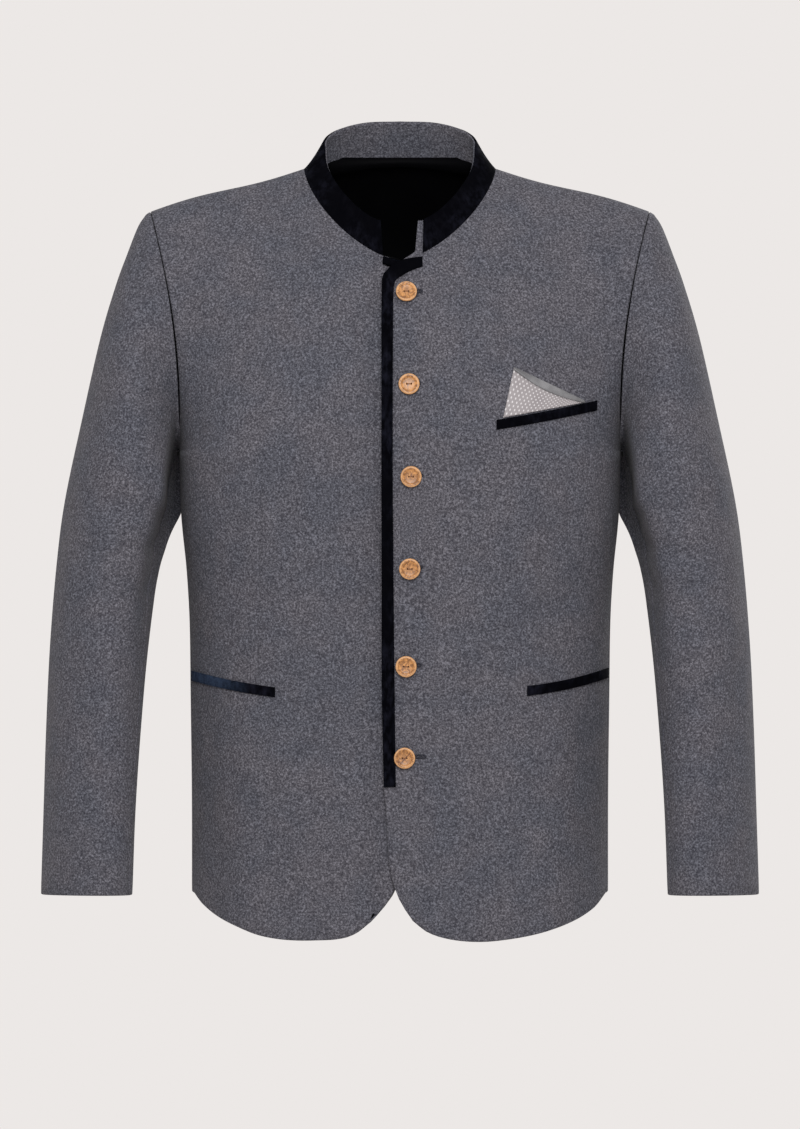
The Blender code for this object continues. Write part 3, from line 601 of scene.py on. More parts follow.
def square_rows(high, wide, low, lift):
    """Return the grid of the pochette above the chest welt, from a share of its height upwards."""
    rows = []
    for j in range(high + 1):
        g = low + (1 - low) * j / high
        start = [a + (b - a) * g for a, b in zip(SQUARE_FOOT_IN, SQUARE_PEAK)]
        end = [a + (b - a) * g for a, b in zip(SQUARE_FOOT_OUT, SQUARE_TIP)]
        rows.append([on_front(1, start[0] + (end[0] - start[0]) * i / wide,
                              start[1] + (end[1] - start[1]) * i / wide, lift) for i in range(wide + 1)])
    return rows


def lining_rows(high, wide):
    """Return the grid of the back lining, from its lower end up to the neck seam, side to side."""
    rows = []
    for i in range(high + 1):
        inner_t = LINING_LOW + (NAPE_ROW - 0.004 - LINING_LOW) * i / high
        row = []
        for j in range(-wide, wide + 1):
            t = inner_t + (0.93 - NAPE_ROW) * (j / wide) ** 2 * (i / high)
            _, _, end, _ = yoke_row(True, t)
            x = end.x * signed_power(math.sin(LINING_REACH * j / wide), yoke_power(t))
            step = 0.004
            along = yoke_point(True, x + step, t) - yoke_point(True, x - step, t)
            up = yoke_point(True, x, t + 0.01) - yoke_point(True, x, t - 0.01)
            row.append(yoke_point(True, x, t) + along.cross(up).normalized() * LINING_INSET)
        rows.append(row)
    below, above = [], []
    for point in rows[-1]:
        level = ease((0.089 - abs(point.x)) / 0.006)
        neck = neck_point(1, math.asin(min(abs(point.x) / NECK_HALF_WIDTH, 1.0)))
        below.append(point.lerp(Vector((point.x, neck.y - 0.0060, neck.z - 0.0060)), level))
        above.append(point.lerp(Vector((point.x, neck.y - 0.0070, 0.0116)), level))
    return rows + [below, above]


# ---- shaping and making cloth ----------------------------------------------------------------------------

def outward(rows, i, j, flip):
    """Return the outward direction of a grid at one of its points."""
    row, below, above = rows[i], rows[max(i - 1, 0)], rows[min(i + 1, len(rows) - 1)]
    along = row[min(j + 1, len(row) - 1)] - row[max(j - 1, 0)]
    normal = along.cross(above[j] - below[j]).normalized()
    return -normal if flip else normal


def border_guide(rows, flip):
    """Return the outward and the inward direction at each row's first point."""
    return [(outward(rows, i, 0, flip), (row[1] - row[0]).normalized()) for i, row in enumerate(rows)]


def rolled(rows, guide, radius, strength, allowance):
    """Turn the first column of a grid under, with its seam allowance; strength is each row's share of it."""
    turned = []
    for i, row in enumerate(rows):
        normal, inwards = guide[i]
        share = strength(i, row[0])
        column = [row[0] + (inwards * 0.0002 - normal * (radius + allowance)) * share]
        for k, degrees in enumerate((90, 68, 46, 24), start=1):
            angle = math.radians(degrees)
            along = (1 - math.sin(angle)) * share + k / 5 * (1 - share)
            column.append(row[0] + inwards * radius * along - normal * radius * (1 - math.cos(angle)) * share)
        turned.append(column + row[1:])
    return turned


def turned_over(rows):
    """Swap the rows and columns of a grid."""
    return [list(column) for column in zip(*rows)]


def mirrored(rows):
    """Turn each row of a grid end for end."""
    return [row[::-1] for row in rows]


def faded(strength, count, corner):
    """Return a border's strength brought down to nothing at its corners, over a number of rows."""
    def at_row(i, point):
        return strength(i, point) * ease(min(i, count - 1 - i) / corner)
    return at_row


def roll_edges(rows, flip, radius, start=None, end=None, bottom=None, top=None, allowance=ALLOWANCE,
               corner=2.5):
    """Turn the chosen borders of a grid under, so seams read as grooves and free edges as folded cloth."""
    plain = turned_over(rows)
    low_guide, high_guide = border_guide(plain, not flip), border_guide(mirrored(plain), flip)
    before, after = 4 * bool(start), 4 * bool(end)
    if start:
        rows = rolled(rows, border_guide(rows, flip), radius, faded(start, len(rows), corner), allowance)
    if end:
        flipped = mirrored(rows)
        guide = border_guide(flipped, not flip)
        rows = mirrored(rolled(flipped, guide, radius, faded(end, len(rows), corner), allowance))
    turned = turned_over(rows)
    if bottom:
        guide = [low_guide[0]] * before + low_guide + [low_guide[-1]] * after
        turned = rolled(turned, guide, radius, bottom, allowance)
    if top:
        guide = [high_guide[0]] * before + high_guide + [high_guide[-1]] * after
        turned = mirrored(rolled(mirrored(turned), guide, radius, top, allowance))
    return turned_over(turned)


def inset(rows, start=0.0, end=0.0, bottom=0.0, top=0.0):
    """Draw the borders of a grid back along its own surface, which opens the gaps at the seams."""
    for row in rows:
        row[0] = row[0] + (row[1] - row[0]).normalized() * start
        row[-1] = row[-1] + (row[-2] - row[-1]).normalized() * end
    for i in range(len(rows[0])):
        rows[0][i] = rows[0][i] + (rows[1][i] - rows[0][i]).normalized() * bottom
        rows[-1][i] = rows[-1][i] + (rows[-2][i] - rows[-1][i]).normalized() * top
    return rows


def full(_, __):
    """Turn a border under all the way."""
    return 1.0


def round_armhole(_, point):
    """Turn a border under all the way but at the shoulder tip and the underarm, where the seam lies flat."""
    return ease((abs(point.z + 0.262) - 0.020) / 0.025) * (0.55 + 0.45 * ease((-0.042 - point.z) / 0.035))


def below_neck(_, point):
    """Turn a front edge under, fading out where the collar takes over."""
    return ease((-0.088 - point.z) / 0.017)


def at_centre(_, point):
    """Turn a border under only along the centre seam."""
    return ease((0.0030 - abs(point.x)) / 0.0020)


def new_object(name, form, material):
    """Make an object from a finished bmesh."""
    mesh = bpy.data.meshes.new(name)
    for face in form.faces:
        face.smooth = True
    form.to_mesh(mesh)
    form.free()
    piece = bpy.data.objects.new(name, mesh)
    bpy.context.scene.collection.objects.link(piece)
    mesh.materials.append(material)
    return piece


def cloth(name, rows, wall, material, flip=False, dart=None, inside=None):
    """Make a sheet of cloth on a grid of points, with its own UV in metres and a wall behind it."""
    form = bmesh.new()
    weave = form.loops.layers.uv.new("weave")
    bmesh.ops.create_grid(form, x_segments=len(rows[0]) - 1, y_segments=len(rows) - 1, size=0.5,
                          calc_uvs=True)
    form.verts.ensure_lookup_table()
    middle, rise = len(rows) // 2, len(rows[0]) // 2
    widths = running_length(rows[middle])
    heights = running_length([row[rise] for row in rows])
    for vertex in form.verts:
        j = round((vertex.co.x + 0.5) * (len(rows[0]) - 1))
        i = round((vertex.co.y + 0.5) * (len(rows) - 1))
        vertex.co = rows[i][j]
        for loop in vertex.link_loops:
            loop[weave].uv = (widths[j], heights[i])
    if flip:
        bmesh.ops.reverse_faces(form, faces=form.faces[:])
    if dart:
        press_dart(form, *dart)
    piece = new_object(name, form, material)
    solid = piece.modifiers.new("wall", "SOLIDIFY")
    solid.thickness = wall
    solid.offset = -1
    if inside:
        piece.data.materials.append(inside)
        solid.material_offset = 1
    return piece


def running_length(points):
    """Return the distance along a line of points at each of them."""
    lengths = [0.0]
    for near, far in zip(points, points[1:]):
        lengths.append(lengths[-1] + (far - near).length)
    return lengths


def press_dart(form, side, upper, lower):
    """Press a dart into a front: a fine groove between two heights, fading out at the top."""
    depth = bpy.context.scene.jacket_cloth.dart_depth
    top, foot = Vector((upper[0] * side, 0, upper[1])), Vector((lower[0] * side, 0, lower[1]))
    run = (top - foot).normalized()
    across = Vector((run.z, 0, -run.x))
    for offset in (-0.0016, -0.0007, 0.0, 0.0007, 0.0016):
        near = [face for face in form.faces
                if abs((face.calc_center_median() - foot).dot(across)) < 0.012
                and foot.z - 0.012 < face.calc_center_median().z < top.z + 0.012]
        geometry = set(near) | {edge for face in near for edge in face.edges}
        geometry |= {vertex for face in near for vertex in face.verts}
        bmesh.ops.bisect_plane(form, geom=list(geometry), dist=0.00002,
                               plane_co=foot + across * offset, plane_no=across)
    for vertex in form.verts:
        beside = (vertex.co - foot).dot(across)
        share = (vertex.co.z - foot.z) / (top.z - foot.z)
        if abs(beside) < 0.0014 and -0.02 < share < 1.0:
            vertex.co.y += depth * (1 - (beside / 0.0014) ** 2) * ease((1 - share) * 6)


def declare_cloth(piece, node):
    """Hide the imported solid that a cloth piece takes the place of, and hang the piece on the jacket's root.
    """
    if node:
        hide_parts(node)
    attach(piece, "root")


# ---- finishes --------------------------------------------------------------------------------------------

def place(tree, kind, settings=(), **inputs):
    """Add a node, set its options, and set or link its inputs, given by name with _ for spaces."""
    made = tree.nodes.new(kind)
    for name, value in settings:
        setattr(made, name, value)
    for name, value in inputs.items():
        socket = made.inputs[name.replace("_", " ")]
        if isinstance(value, bpy.types.NodeSocket):
            tree.links.new(value, socket)
        else:
            socket.default_value = value
    return made


def mixed(tree, share, first, second, blend="MIX"):
    """Mix two colours and return the result."""
    made = tree.nodes.new("ShaderNodeMix")
    made.data_type, made.blend_type = "RGBA", blend
    for index, value in ((0, share), (6, first), (7, second)):
        if isinstance(value, bpy.types.NodeSocket):
            tree.links.new(value, made.inputs[index])
        else:
            made.inputs[index].default_value = value if index == 0 else (*value[:3], 1.0)
    return made.outputs[2]


def figured(tree, operation, *values):
    """Work out a number from others and return the result."""
    made = tree.nodes.new("ShaderNodeMath")
    made.operation = operation
    for index, value in enumerate(values):
        if isinstance(value, bpy.types.NodeSocket):
            tree.links.new(value, made.inputs[index])
        else:
            made.inputs[index].default_value = value
    return made.outputs[0]


def ranged(tree, value, low, high, to_low=0.0, to_high=1.0):
    """Map a number from one range to another and return the result, held inside it."""
    made = place(tree, "ShaderNodeMapRange", Value=value, From_Min=low, From_Max=high, To_Min=to_low,
                 To_Max=to_high)
    return made.outputs[0]


def new_group(name, inputs, outputs):
    """Start a shader node group with named inputs and outputs; return it with its two end nodes."""
    group = bpy.data.node_groups.new(name, "ShaderNodeTree")
    for label, kind, value in inputs:
        socket = group.interface.new_socket(name=label, in_out="INPUT", socket_type=f"NodeSocket{kind}")
        if value is not None:
            socket.default_value = value
    for label, kind in outputs:
        group.interface.new_socket(name=label, in_out="OUTPUT", socket_type=f"NodeSocket{kind}")
    return group, group.nodes.new("NodeGroupInput").outputs, group.nodes.new("NodeGroupOutput").inputs


def melange_group():
    """Build the mixed dark and light fibres of felted wool."""
    group, given, result = new_group(
        "Felted Melange",
        (("Vector", "Vector", None), ("Dark", "Color", (0, 0, 0, 1)), ("Middle", "Color", (0, 0, 0, 1)),
         ("Light", "Color", (1, 1, 1, 1)), ("Flecks per Metre", "Float", 430.0)),
        (("Color", "Color"), ("Height", "Float")))
    coarse = place(group, "ShaderNodeTexNoise", Vector=given["Vector"], Scale=given["Flecks per Metre"],
                   Detail=2.5, Roughness=0.62).outputs[0]
    finer = figured(group, "MULTIPLY", given["Flecks per Metre"], 2.7)
    fine = place(group, "ShaderNodeTexNoise", Vector=given["Vector"], Scale=finer, Detail=1.5,
                 Roughness=0.5).outputs[0]
    blend = figured(group, "ADD", figured(group, "MULTIPLY", coarse, 0.68),
                    figured(group, "MULTIPLY", fine, 0.32))
    lifted = mixed(group, ranged(group, blend, 0.50, 0.66), given["Middle"], given["Light"])
    colour = mixed(group, ranged(group, blend, 0.50, 0.36), lifted, given["Dark"])
    group.links.new(colour, result["Color"])
    group.links.new(blend, result["Height"])
    return group


def variation_group():
    """Build the slow change of shade that cloth and horn have over a hand's breadth."""
    group, given, result = new_group(
        "Slow Variation",
        (("Vector", "Vector", None), ("Color", "Color", (1, 1, 1, 1)), ("Tint", "Color", (1, 1, 1, 1)),
         ("Amount", "Float", 0.2), ("Patches per Metre", "Float", 14.0)),
        (("Color", "Color"), ("Mask", "Float")))
    slow = place(group, "ShaderNodeTexNoise", Vector=given["Vector"], Scale=given["Patches per Metre"],
                 Detail=2.0, Roughness=0.5).outputs[0]
    mask = ranged(group, slow, 0.38, 0.66)
    share = figured(group, "MULTIPLY", mask, given["Amount"])
    group.links.new(mixed(group, share, given["Color"], given["Tint"]), result["Color"])
    group.links.new(mask, result["Mask"])
    return group


def twill_group():
    """Build a fine diagonal weave from the cloth's own UV in metres."""
    group, given, result = new_group(
        "Fine Twill",
        (("UV", "Vector", None), ("Threads per Metre", "Float", 900.0), ("Slant", "Float", 1.0)),
        (("Height", "Float"),))
    parts = place(group, "ShaderNodeSeparateXYZ", Vector=given["UV"]).outputs
    slanted = figured(group, "ADD", parts[0], figured(group, "MULTIPLY", parts[1], given["Slant"]))
    threads = figured(group, "MULTIPLY", slanted, given["Threads per Metre"])
    turns = figured(group, "MULTIPLY", threads, 6.2832)
    wale = figured(group, "SINE", turns)
    group.links.new(ranged(group, wale, -1.0, 1.0), result["Height"])
    return group


def pile_group():
    """Build the short pile of velvet with painted sheen: the darker base, lightened to a bluish colour in
    random patches of the nap.
    """
    group, given, result = new_group(
        "Velvet Pile",
        (("Vector", "Vector", None), ("Base", "Color", (0, 0, 0, 1)), ("Bloom", "Color", (0, 0, 1, 1)),
         ("Brushed", "Float", 0.4)),
        (("Color", "Color"), ("Height", "Float"), ("Roughness", "Float")))
    swept = place(group, "ShaderNodeMapping", (("vector_type", "POINT"),), Vector=given["Vector"],
                  Scale=(1.0, 1.0, 0.45)).outputs[0]
    nap = place(group, "ShaderNodeTexNoise", Vector=swept, Scale=190.0, Detail=3.0, Roughness=0.6).outputs[0]
    tufts = place(group, "ShaderNodeTexNoise", Vector=given["Vector"], Scale=1500.0, Detail=1.0).outputs[0]
    slow = place(group, "ShaderNodeTexNoise", Vector=given["Vector"], Scale=26.0, Detail=1.0).outputs[0]
    # painted sheen: the nap and a slow noise pick the random patches that are lightened
    sheen_mask = figured(group, "MULTIPLY", ranged(group, nap, 0.42, 0.70), ranged(group, slow, 0.40, 0.62))
    share = figured(group, "MULTIPLY", sheen_mask, given["Brushed"])
    group.links.new(mixed(group, share, given["Base"], given["Bloom"]), result["Color"])
    height = figured(group, "ADD", figured(group, "MULTIPLY", nap, 0.5),
                     figured(group, "MULTIPLY", tufts, 0.5))
    group.links.new(height, result["Height"])
    group.links.new(ranged(group, nap, 0.3, 0.7, 0.95, 0.72), result["Roughness"])
    return group


def shared_group(name):
    """Return one of the shared node groups, built the first time it is asked for."""
    makers = {"Felted Melange": melange_group, "Slow Variation": variation_group,
              "Fine Twill": twill_group, "Velvet Pile": pile_group}
    return bpy.data.node_groups.get(name) or makers[name]()


def use_group(tree, name, **inputs):
    """Place a shared node group in a material."""
    return place(tree, "ShaderNodeGroup", (("node_tree", shared_group(name)),), **inputs).outputs


def start_material(name):
    """Start a node material; return it with its tree, shader and the object and UV coordinates."""
    material = bpy.data.materials.new(name)
    material.use_nodes = True
    tree = material.node_tree
    coordinates = tree.nodes.new("ShaderNodeTexCoord").outputs
    return material, tree, tree.nodes["Principled BSDF"], coordinates["Object"], coordinates["UV"]


def finish(tree, shader, colour, roughness, height, bump_strength, bump_distance, **plain):
    """Link the colour, roughness and bump of a material and set the shader's plain values."""
    tree.links.new(colour, shader.inputs["Base Color"])
    if isinstance(roughness, bpy.types.NodeSocket):
        tree.links.new(roughness, shader.inputs["Roughness"])
    else:
        shader.inputs["Roughness"].default_value = roughness
    bump = place(tree, "ShaderNodeBump", Strength=bump_strength, Distance=bump_distance, Height=height)
    tree.links.new(bump.outputs[0], shader.inputs["Normal"])
    for name, value in plain.items():
        shader.inputs[name.replace("_", " ")].default_value = value


def opaque(colour):
    """Return a colour property as four numbers."""
    return (*colour[:3], 1.0)


def loden_material():
    """Grey melange loden: felted wool with dark and light flecks and a faint blue cast in places."""
    existing = bpy.data.materials.get("grey loden")
    if existing:
        return existing
    colours, sizes = bpy.context.scene.jacket_colours, bpy.context.scene.jacket_cloth
    material, tree, shader, where, weave = start_material("grey loden")
    wool = use_group(tree, "Felted Melange", Vector=where, Dark=opaque(colours.loden_dark),
                     Middle=opaque(colours.loden_middle), Light=opaque(colours.loden_light),
                     Flecks_per_Metre=1.0 / sizes.fleck_size)
    tint = mixed(tree, 0.5, wool["Color"], opaque(colours.loden_cast), "MULTIPLY")
    shade = use_group(tree, "Slow Variation", Vector=where, Color=wool["Color"], Tint=tint, Amount=0.8,
                      Patches_per_Metre=22.0)
    twill = use_group(tree, "Fine Twill", UV=weave, Threads_per_Metre=620.0, Slant=0.8)
    height = figured(tree, "ADD", wool["Height"], figured(tree, "MULTIPLY", twill["Height"], 0.10))
    roughness = ranged(tree, wool["Height"], 0.3, 0.7, 0.98, 0.86)
    finish(tree, shader, shade["Color"], roughness, height, 0.55, 0.0007,
           Sheen_Weight=0.04, Sheen_Roughness=0.55, Specular_IOR_Level=0.12)
    return material


def velvet_material(painted_highlight=False):
    """Near-black navy velvet with a short pile and painted sheen; where asked, a painted highlight lightens
    its outer end towards blue.
    """
    name = "navy velvet brushed" if painted_highlight else "navy velvet"
    existing = bpy.data.materials.get(name)
    if existing:
        return existing
    colours = bpy.context.scene.jacket_colours
    material, tree, shader, where, _ = start_material(name)
    pile = use_group(tree, "Velvet Pile", Vector=where, Base=opaque(colours.velvet),
                     Bloom=opaque(colours.velvet_painted_sheen), Brushed=0.55)
    colour = pile["Color"]
    # painted highlight: from x -0.142 outwards, fully by -0.176, the velvet turns light blue where the pile
    # stands high, as the outer end of the right hip welt catching the light
    if painted_highlight:
        across = place(tree, "ShaderNodeSeparateXYZ", Vector=where).outputs[0]
        share = figured(tree, "MULTIPLY", ranged(tree, across, -0.142, -0.176),
                        ranged(tree, pile["Height"], 0.3, 0.6))
        colour = mixed(tree, share, colour, opaque(colours.velvet_painted_highlight))
    finish(tree, shader, colour, pile["Roughness"], pile["Height"], 0.35, 0.0004,
           Sheen_Weight=0.01, Sheen_Roughness=0.35, Sheen_Tint=(0.30, 0.42, 0.75, 1.0),
           Specular_IOR_Level=0.02)
    return material


def lining_material():
    """Black satin lining with a fine weave."""
    existing = bpy.data.materials.get("black satin lining")
    if existing:
        return existing
    colours = bpy.context.scene.jacket_colours
    material, tree, shader, where, weave = start_material("black satin lining")
    shade = use_group(tree, "Slow Variation", Vector=where, Color=opaque(colours.lining),
                      Tint=(0.0015, 0.0015, 0.0022, 1.0), Amount=0.5, Patches_per_Metre=18.0)
    twill = use_group(tree, "Fine Twill", UV=weave, Threads_per_Metre=1500.0, Slant=0.5)
    finish(tree, shader, shade["Color"], ranged(tree, shade["Mask"], 0.0, 1.0, 0.55, 0.66), twill["Height"],
           0.10, 0.0001, Specular_IOR_Level=0.03)
    return material


def silk_material():
    """Pale grey silk with small white dots in a diagonal lattice."""
    colours, sizes = bpy.context.scene.jacket_colours, bpy.context.scene.jacket_cloth
    material, tree, shader, where, weave = start_material("dotted silk")
    turned = place(tree, "ShaderNodeMapping", Vector=weave, Rotation=(0.0, 0.0, math.radians(52))).outputs[0]
    lattice = place(tree, "ShaderNodeTexVoronoi", (("voronoi_dimensions", "2D"),), Vector=turned,
                    Scale=1.0 / sizes.dot_pitch, Randomness=0.0).outputs["Distance"]
    dots = ranged(tree, lattice, 0.26, 0.17)
    shade = use_group(tree, "Slow Variation", Vector=where, Color=opaque(colours.silk),
                      Tint=(0.20, 0.18, 0.19, 1.0), Amount=0.55, Patches_per_Metre=60.0)
    colour = mixed(tree, dots, shade["Color"], opaque(colours.silk_dot))
    twill = use_group(tree, "Fine Twill", UV=weave, Threads_per_Metre=1700.0, Slant=1.0)
    finish(tree, shader, colour, ranged(tree, shade["Mask"], 0.0, 1.0, 0.42, 0.55), twill["Height"],
           0.12, 0.0001, Sheen_Weight=0.15, Sheen_Roughness=0.4)
    return material


def silk_fold_material():
    """Plain satin border of the pochette."""
    colours = bpy.context.scene.jacket_colours
    material, tree, shader, where, weave = start_material("silk fold")
    shade = use_group(tree, "Slow Variation", Vector=where, Color=opaque(colours.silk_fold),
                      Tint=(0.22, 0.22, 0.23, 1.0), Amount=0.7, Patches_per_Metre=70.0)
    twill = use_group(tree, "Fine Twill", UV=weave, Threads_per_Metre=1700.0, Slant=0.4)
    finish(tree, shader, shade["Color"], ranged(tree, shade["Mask"], 0.0, 1.0, 0.28, 0.42), twill["Height"],
           0.15, 0.0001, Sheen_Weight=0.1)
    return material


def horn_material(name, groove):
    """Stag horn: a pale turned rim round a brown mottled face, on the button's own UV in metres."""
    colours = bpy.context.scene.jacket_colours
    material, tree, shader, where, own = start_material(name)
    parts = place(tree, "ShaderNodeSeparateXYZ", Vector=own).outputs
    radius = place(tree, "ShaderNodeVectorMath", (("operation", "LENGTH"),), Vector=own).outputs["Value"]
    grain = place(tree, "ShaderNodeTexNoise", Vector=where, Scale=260.0, Detail=4.0, Roughness=0.65,
                  Distortion=1.2).outputs[0]
    streaked = place(tree, "ShaderNodeMapping", Vector=where, Rotation=(0.0, math.radians(38), 0.0),
                     Scale=(1.0, 1.0, 0.25)).outputs[0]
    streaks = place(tree, "ShaderNodeTexNoise", Vector=streaked, Scale=520.0, Detail=3.0,
                    Roughness=0.6).outputs[0]
    face = mixed(tree, ranged(tree, grain, 0.40, 0.60), opaque(colours.horn_face), opaque(colours.horn_light))
    face = mixed(tree, ranged(tree, streaks, 0.56, 0.68, 0.0, 0.7), face, opaque(colours.horn_dark))
    rough_radius = figured(tree, "ADD", radius, figured(tree, "MULTIPLY",
                                                        figured(tree, "SUBTRACT", grain, 0.5),
                                                        0.0022))
    rim = ranged(tree, rough_radius, BUTTON_RADIUS * 0.84, BUTTON_RADIUS * 0.90)
    colour = mixed(tree, rim, face, opaque(colours.horn_rim))
    edge = ranged(tree, radius, BUTTON_RADIUS * 0.955, BUTTON_RADIUS * 1.0, 0.0, 0.75)
    colour = mixed(tree, edge, colour, opaque(colours.horn_light))
    slant = figured(tree, "ABSOLUTE", figured(tree, "SUBTRACT", figured(tree, "MULTIPLY", parts[0], 1.15),
                                              figured(tree, "SUBTRACT", parts[1], -0.0012)))
    line = figured(tree, "MULTIPLY", ranged(tree, slant, 0.0011, 0.0004),
                   ranged(tree, radius, BUTTON_RADIUS * 0.80, BUTTON_RADIUS * 0.66, 0.0, groove))
    colour = mixed(tree, line, colour, opaque(colours.horn_dark))
    height = figured(tree, "SUBTRACT", figured(tree, "ADD", figured(tree, "MULTIPLY", grain, 0.6), streaks),
                     line)
    finish(tree, shader, colour, ranged(tree, grain, 0.35, 0.65, 0.34, 0.52), height, 0.30, 0.0005,
           Coat_Weight=0.15, Coat_Roughness=0.25, Specular_IOR_Level=0.45)
    return material


def thread_material(name, colour):
    """Twisted sewing thread."""
    existing = bpy.data.materials.get(name)
    if existing:
        return existing
    material, tree, shader, where, _ = start_material(name)
    shade = use_group(tree, "Slow Variation", Vector=where, Color=opaque(colour),
                      Tint=(*[value * 1.8 for value in colour], 1.0), Amount=0.6, Patches_per_Metre=900.0)
    strands = place(tree, "ShaderNodeTexNoise", Vector=where, Scale=2600.0, Detail=1.0).outputs[0]
    finish(tree, shader, shade["Color"], 0.75, strands, 0.4, 0.0002, Sheen_Weight=0.1)
    return material


# ---- sizes and colours -----------------------------------------------------------------------------------

def shade_property(label, text, red, green, blue):
    """Make a colour property from 0 to 255 display values."""
    linear = [((v / 255 + 0.055) / 1.055) ** 2.4 if v > 10 else v / 255 / 12.92 for v in (red, green, blue)]
    return bpy.props.FloatVectorProperty(name=label, description=text, subtype="COLOR", size=3, min=0.0,
                                         max=1.0, default=linear)


class JacketCloth(bpy.types.PropertyGroup):
    """Sizes of the cloth's surface."""

    seam_roll: bpy.props.FloatProperty(
        name="Seam Roll", description="Radius at which cloth turns under at a seam or edge", default=0.0017,
        min=0.0005, max=0.003, unit="LENGTH", precision=4)
    crease_strength: bpy.props.FloatProperty(
        name="Crease Strength", description="How strongly the soft creases show", default=1.0, min=0.0,
        max=1.5, subtype="FACTOR")
    dart_depth: bpy.props.FloatProperty(
        name="Dart Depth", description="Depth of the pressed darts", default=0.0010, min=0.0, max=0.0015,
        unit="LENGTH", precision=4)
    fleck_size: bpy.props.FloatProperty(
        name="Fleck Size", description="Size of the wool's dark and light flecks", default=0.0018,
        min=0.001, max=0.006, unit="LENGTH", precision=4)
    dot_pitch: bpy.props.FloatProperty(
        name="Dot Pitch", description="Distance between the dots of the pochette", default=0.0031,
        min=0.002, max=0.01, unit="LENGTH", precision=4)
    stitch_pitch: bpy.props.FloatProperty(
        name="Stitch Pitch", description="Distance between the stitches of a buttonhole", default=0.00055,
        min=0.0003, max=0.0015, unit="LENGTH", precision=5)


class JacketColours(bpy.types.PropertyGroup):
    """Colours of the jacket's finishes."""

    loden_dark: shade_property("Loden Dark", "Dark fibres of the loden", 47, 46, 53)
    loden_middle: shade_property("Loden Middle", "Middle shade of the loden", 75, 74, 80)
    loden_light: shade_property("Loden Light", "Light fibres of the loden", 118, 117, 125)
    loden_cast: shade_property("Loden Cast", "Blue cast that the loden takes in places", 205, 222, 235)
    velvet: shade_property("Velvet", "Velvet of collar, edge and welts", 3, 3, 6)
    # colour of the painted sheen that lightens the velvet in random patches
    velvet_painted_sheen: shade_property("Velvet Bloom", "Brushed places of the velvet", 25, 26, 37)
    # colour of the painted highlight on the outer end of the right hip welt
    velvet_painted_highlight: shade_property("Velvet Brushed", "Velvet that faces the light", 48, 60, 80)
    lining: shade_property("Lining", "Satin lining", 2, 2, 3)
    silk: shade_property("Silk", "Ground of the pochette", 138, 133, 135)
    silk_dot: shade_property("Silk Dots", "Dots of the pochette", 190, 187, 189)
    silk_fold: shade_property("Silk Fold", "Satin border of the pochette", 88, 88, 91)
    horn_rim: shade_property("Horn Rim", "Pale turned rim of the buttons", 196, 150, 104)
    horn_light: shade_property("Horn Light", "Light patches of the buttons", 190, 134, 76)
    horn_face: shade_property("Horn Face", "Brown face of the buttons", 120, 78, 40)
    horn_dark: shade_property("Horn Dark", "Dark marks of the buttons", 84, 46, 28)
    button_thread: shade_property("Button Thread", "Thread that holds the buttons", 112, 72, 44)
    thread: shade_property("Buttonhole Twist", "Thread of the buttonholes", 14, 16, 32)
    surround: shade_property("Surround", "Floor and background", 236, 232, 230)


# ---- pieces ----------------------------------------------------------------------------------------------

class JACKET_OT_fronts(bpy.types.Operator):
    """Make the two fronts, with their darts, folded edges and soft creases"""

    bl_idname = "jacket.fronts"
    bl_label = "Fronts"

    def execute(self, context):
        radius = context.scene.jacket_cloth.seam_roll
        for side, word in ((1, "left"), (-1, "right")):
            rows = inset(front_rows(side, 44, 72, 52), start=LAY if side < 0 else 0.0,
                         end=SEAM_GAP, top=NECK_GAP)
            rows = roll_edges(rows, side < 0, radius, start=below_neck, end=round_armhole,
                              bottom=full, top=full)
            piece = cloth(f"loden_front_{word}", rows, LODEN_WALL, loden_material(), flip=side < 0,
                          dart=(side, *DARTS[side]), inside=lining_material())
            declare_cloth(piece, f"front_{word}")
        return {"FINISHED"}


class JACKET_OT_backs(bpy.types.Operator):
    """Make the two halves of the back, with the centre seam and soft creases"""

    bl_idname = "jacket.backs"
    bl_label = "Backs"

    def execute(self, context):
        radius = context.scene.jacket_cloth.seam_roll
        for side, word in ((1, "left"), (-1, "right")):
            rows = inset(back_rows(side, 44, 72, 52), start=SEAM_GAP, end=SEAM_GAP, top=NECK_GAP)
            rows = roll_edges(rows, side > 0, radius, start=at_centre, end=round_armhole,
                              bottom=full, top=full)
            piece = cloth(f"loden_back_{word}", rows, LODEN_WALL, loden_material(), flip=side > 0,
                          inside=lining_material())
            declare_cloth(piece, f"back_{word}")
        return {"FINISHED"}


class JACKET_OT_sleeves(bpy.types.Operator):
    """Make the two-piece sleeves, bent at the elbow, with soft creases"""

    bl_idname = "jacket.sleeves"
    bl_label = "Sleeves"

    def execute(self, context):
        radius = context.scene.jacket_cloth.seam_roll
        for side, word in ((1, "left"), (-1, "right")):
            spans = (("top", BACK_SEAM_TURN - 1, FRONT_SEAM_TURN, 104, side < 0),
                     ("under", FRONT_SEAM_TURN, BACK_SEAM_TURN, 44, side < 0))
            for name, first, last, count, flip in spans:
                rows = inset(sleeve_rows(side, first, last, 88, count), start=SEAM_GAP, end=SEAM_GAP)
                rows = roll_edges(rows, flip, radius, start=full, end=full, bottom=round_armhole, top=full)
                piece = cloth(f"loden_sleeve_{name}_{word}", rows, LODEN_WALL, loden_material(), flip=flip,
                              inside=lining_material())
                declare_cloth(piece, f"sleeve_{name}_{word}")
        return {"FINISHED"}


